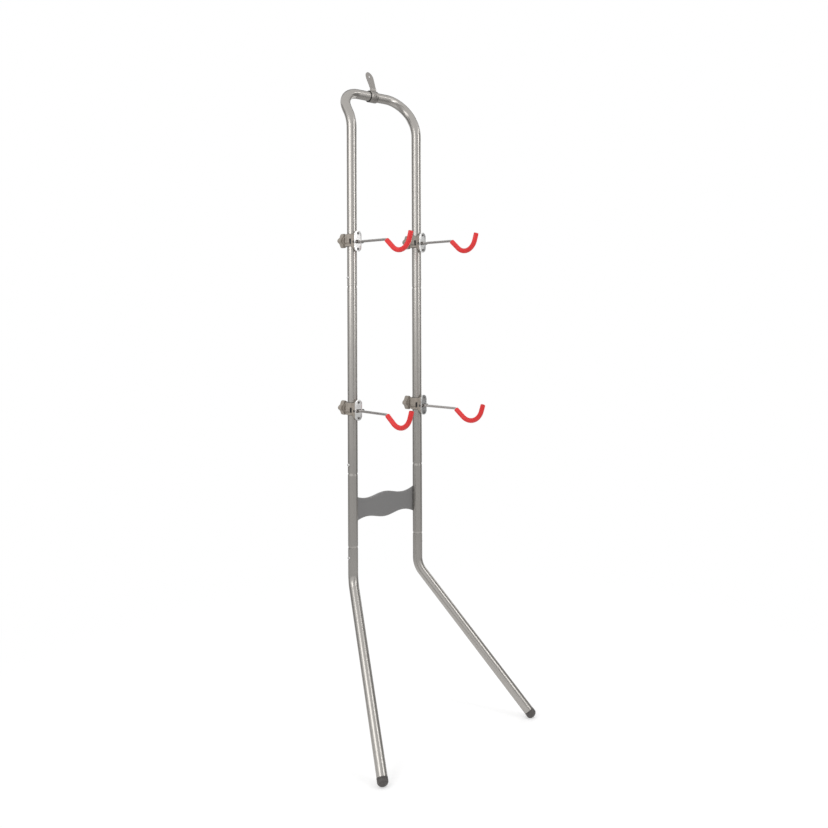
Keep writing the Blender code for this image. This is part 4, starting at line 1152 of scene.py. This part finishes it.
# Pivot bolts
# The bolt that each arm tilts on, through both cheeks of the block. Its flat head is sunk in the
# left cheek, and a long dark cap nut closes it on the right.
PIVOT_HEAD_HEIGHT = 0.0012
NUT_RADIUS = 0.0046
NUT_HEIGHT = 0.0095
NUT_FLATS = 0.00665
NUT_EDGE = 0.0004
NUT_DOME = 0.0050
NUT_CROWN = ((1, 0), (0.92, 0.40), (0.70, 0.75), (0.38, 0.94), (0, 1))
CAP_NUT_RADIUS = 0.0040
CAP_NUT_START = 0.001
nut_face = half_width + GAP
nut_end = nut_face + NUT_HEIGHT
profile = [
    (0, -half_width),
    (PIVOT_HEAD_RADIUS, -half_width),
    (PIVOT_HEAD_RADIUS, PIVOT_HEAD_HEIGHT - half_width),
    (PIVOT_BOLT_RADIUS, PIVOT_HEAD_HEIGHT - half_width),
    (PIVOT_BOLT_RADIUS, nut_face + CAP_NUT_START),
    (CAP_NUT_RADIUS, nut_face + CAP_NUT_START),
]
profile += [(CAP_NUT_RADIUS * out, nut_end + NUT_DOME * up) for out, up in NUT_CROWN]
bolt = turning(profile, x_axis, pivot, steps=32)
along_x = Matrix.Rotation(math.pi / 2, 4, "Y")
nut_place = pivot + Vector((nut_face + NUT_FLATS / 2, 0, 0))
nut = rolled(hexagon(NUT_RADIUS, NUT_FLATS, along_x, nut_place), NUT_EDGE, 2, sharper=80)
worked(bolt, "UNION", [solid(nut)])
four_of("pivot_bolt", back_to_bmesh(bolt), dark_steel, "clamp", "pivot_pin", 30)


# Arms
# Plated steel bar, bent down and round into a hook. A cross tube on its inner end turns on the
# pivot bolt.
ARM_RUN = 0.146
ARM_START = 0.00355
TRUNNION_RADIUS = 0.0046
TRUNNION_LENGTH = 0.0225
TRUNNION_EDGE = 0.0005
HOOK_FALL = math.radians(38.3)
HOOK_FALL_RADIUS = 0.007
HOOK_FALL_STEPS = 10
HOOK_SLOPE = 0.0396
HOOK_RADIUS = 0.0485
HOOK_STEPS = 40
HOOK_TIP_RISE = math.radians(71.6)
HOOK_TIP = 0.0225
SLEEVE_END = 0.004
ROD_SIDES = 28
STEEL = (0.54, 0.515, 0.497, 1.0)
STEEL_SHADE = (0.46, 0.438, 0.423, 1.0)


def hook_moves(start, tip):
    """The hook beyond the arm's corner, from a distance past it and to a shorter tip."""
    return [
        ("run", HOOK_SLOPE - start, 1),
        ("bend", HOOK_RADIUS, HOOK_FALL + HOOK_TIP_RISE, -x_axis, HOOK_STEPS),
        ("run", HOOK_TIP - tip, 1),
    ]


bar_steel = new_finish(
    "bar_steel", STEEL_SHADE, STEEL, metallic=0.9, roughness=(0.27, 0.39),
    depth=4e-6, grains=(1500, 1500, 1500), stretch=(1, 0.05, 1),
)
fall_tangent = HOOK_FALL_RADIUS * math.tan(HOOK_FALL / 2)
moves = [
    ("run", ARM_RUN - ARM_START - fall_tangent, 1),
    ("bend", HOOK_FALL_RADIUS, HOOK_FALL, x_axis, HOOK_FALL_STEPS),
]
moves += hook_moves(fall_tangent, SLEEVE_END + GAP)
bm = draw_tube(ARM_RADIUS, ROD_SIDES, pivot - y_axis * ARM_START, -y_axis, moves)
bmesh.ops.holes_fill(bm, edges=bm.edges[:])
bar = solid(bm)
half = TRUNNION_LENGTH / 2
cross = [(0, -half), (TRUNNION_RADIUS, -half), (TRUNNION_RADIUS, half), (0, half)]
trunnion = turning(eased(cross, TRUNNION_EDGE), x_axis, pivot, steps=36)
worked(bar, "UNION", [trunnion])
worked(bar, "DIFFERENCE", [rod(PIVOT_BOLT_RADIUS + GAP, -2 * half, 2 * half, x_axis, pivot)])
four_of("hook_arm", back_to_bmesh(bar), bar_steel, "arm", "arm_rod", 40)


# Hook sleeves
# Soft red vinyl tube pushed over each hook to save the bike's paint. Its mouth is cut square and
# its closed tip is flat with a soft edge.
SLEEVE_RADIUS = 0.0078
SLEEVE_WALL = 0.0035
SLEEVE_LEAD = 0.0035
SLEEVE_MOUTH = 0.0007
SLEEVE_TIP = 0.0016
SLEEVE_TIP_STEPS = 8
SLEEVE_TIP_ARC = 88
SLEEVE_SIDES = 36
RED = (0.90, 0.040, 0.040, 1.0)
RED_SHADE = (0.82, 0.028, 0.030, 1.0)
red_sleeve = new_finish(
    "red_sleeve", RED_SHADE, RED, metallic=0, roughness=(0.36, 0.5),
    depth=6e-5, grains=(70, 500, 1200),
)
slope = Vector((0, -math.cos(HOOK_FALL), -math.sin(HOOK_FALL)))
mouth = pivot - y_axis * ARM_RUN + slope * SLEEVE_LEAD
moves = [("run", SLEEVE_MOUTH, SLEEVE_RADIUS / (SLEEVE_RADIUS - SLEEVE_MOUTH))]
moves += hook_moves(SLEEVE_LEAD + SLEEVE_MOUTH, SLEEVE_TIP)
reached, radius = 0, SLEEVE_RADIUS
for k in range(1, SLEEVE_TIP_STEPS + 1):
    angle = math.radians(SLEEVE_TIP_ARC * k / SLEEVE_TIP_STEPS)
    further = SLEEVE_TIP * math.sin(angle)
    narrower = SLEEVE_RADIUS - SLEEVE_TIP * (1 - math.cos(angle))
    moves.append(("run", further - reached, narrower / radius))
    reached, radius = further, narrower
bm = draw_tube(SLEEVE_RADIUS - SLEEVE_MOUTH, SLEEVE_SIDES, mouth, slope, moves)
open_edges = [edge for edge in bm.edges if edge.is_boundary]
far_end = max((edge.verts[0].co for edge in open_edges), key=lambda co: (co - mouth).length)
tip_edges = [edge for edge in open_edges if (edge.verts[0].co - far_end).length < SLEEVE_RADIUS]
bmesh.ops.edgeloop_fill(bm, edges=tip_edges)
for sleeve in four_of("vinyl_sleeve", bm, red_sleeve, "arm", "hook_sleeve"):
    walled(sleeve, SLEEVE_WALL)


# Star knobs
# Moulded knobs in the clamps' warm grey, behind the posts. Each has five round lobes on a conical
# skirt, a dished back with a hub, and a threaded stud that presses the pad on the liner.
STAR_LOBES = 5
STAR_LOBE_STEPS = 24
STAR_RADIUS = 0.0241
STAR_VALLEY = 0.0187
STAR_THICKNESS = 0.0175
STAR_FRONT = 0.0305
STAR_EDGE = 0.0026
SKIRT_GAP = 0.0015
SKIRT_NECK_RADIUS = 0.0125
SKIRT_RADIUS = 0.0165
SKIRT_EDGE = 0.0008
SKIRT_RIM_SINK = 0.001
SKIRT_SINK = 0.002
DISH_PROFILE = ((0, -0.0016), (0.0095, -0.0016), (0.0115, 0.001), (0, 0.001))
HUB_PROFILE = ((0, -0.004), (0.0055, -0.004), (0.0055, -0.0006), (0, -0.0002))
HUB_EDGE = 0.0006
STUD_START = 0.0200
STUD_BITE = 0.004
star_back = STAR_FRONT + STAR_THICKNESS
points = []
for k in range(STAR_LOBES * STAR_LOBE_STEPS):
    angle = 2 * math.pi * k / (STAR_LOBES * STAR_LOBE_STEPS)
    lobe = (1 - math.cos(STAR_LOBES * (angle - math.pi) + math.pi)) / 2
    radius = STAR_VALLEY + (STAR_RADIUS - STAR_VALLEY) * lobe
    points.append((radius * math.cos(angle), radius * math.sin(angle)))
knob = solid(rolled(slab(points, STAR_FRONT, star_back), STAR_EDGE, segments=5))
profile = [
    (0, BOSS_BACK + SKIRT_GAP),
    (SKIRT_NECK_RADIUS, BOSS_BACK + SKIRT_GAP),
    (SKIRT_RADIUS, STAR_FRONT + SKIRT_RIM_SINK),
    (0, STAR_FRONT + SKIRT_SINK),
]
back = (0, star_back, 0)
worked(knob, "UNION", [turning(eased(profile, SKIRT_EDGE), y_axis, steps=40)])
worked(knob, "UNION", [rod(STUD_RADIUS, STUD_START, STAR_FRONT + STUD_BITE, y_axis)])
worked(knob, "DIFFERENCE", [turning(DISH_PROFILE, y_axis, back)])
worked(knob, "UNION", [turning(eased(HUB_PROFILE, HUB_EDGE), y_axis, back, steps=36)])
four_of("lobed_knob", back_to_bmesh(knob), warm_grey, "knob", "star_knob", 40)


# Pressure pads
# Small steel discs at the studs' ends, inside the clamps. Their solids stay, in dark steel.
for prefix in clamp_places:
    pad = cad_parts[f"{prefix}_pressure_pad"]
    pad.data.materials.clear()
    pad.data.materials.append(dark_steel)
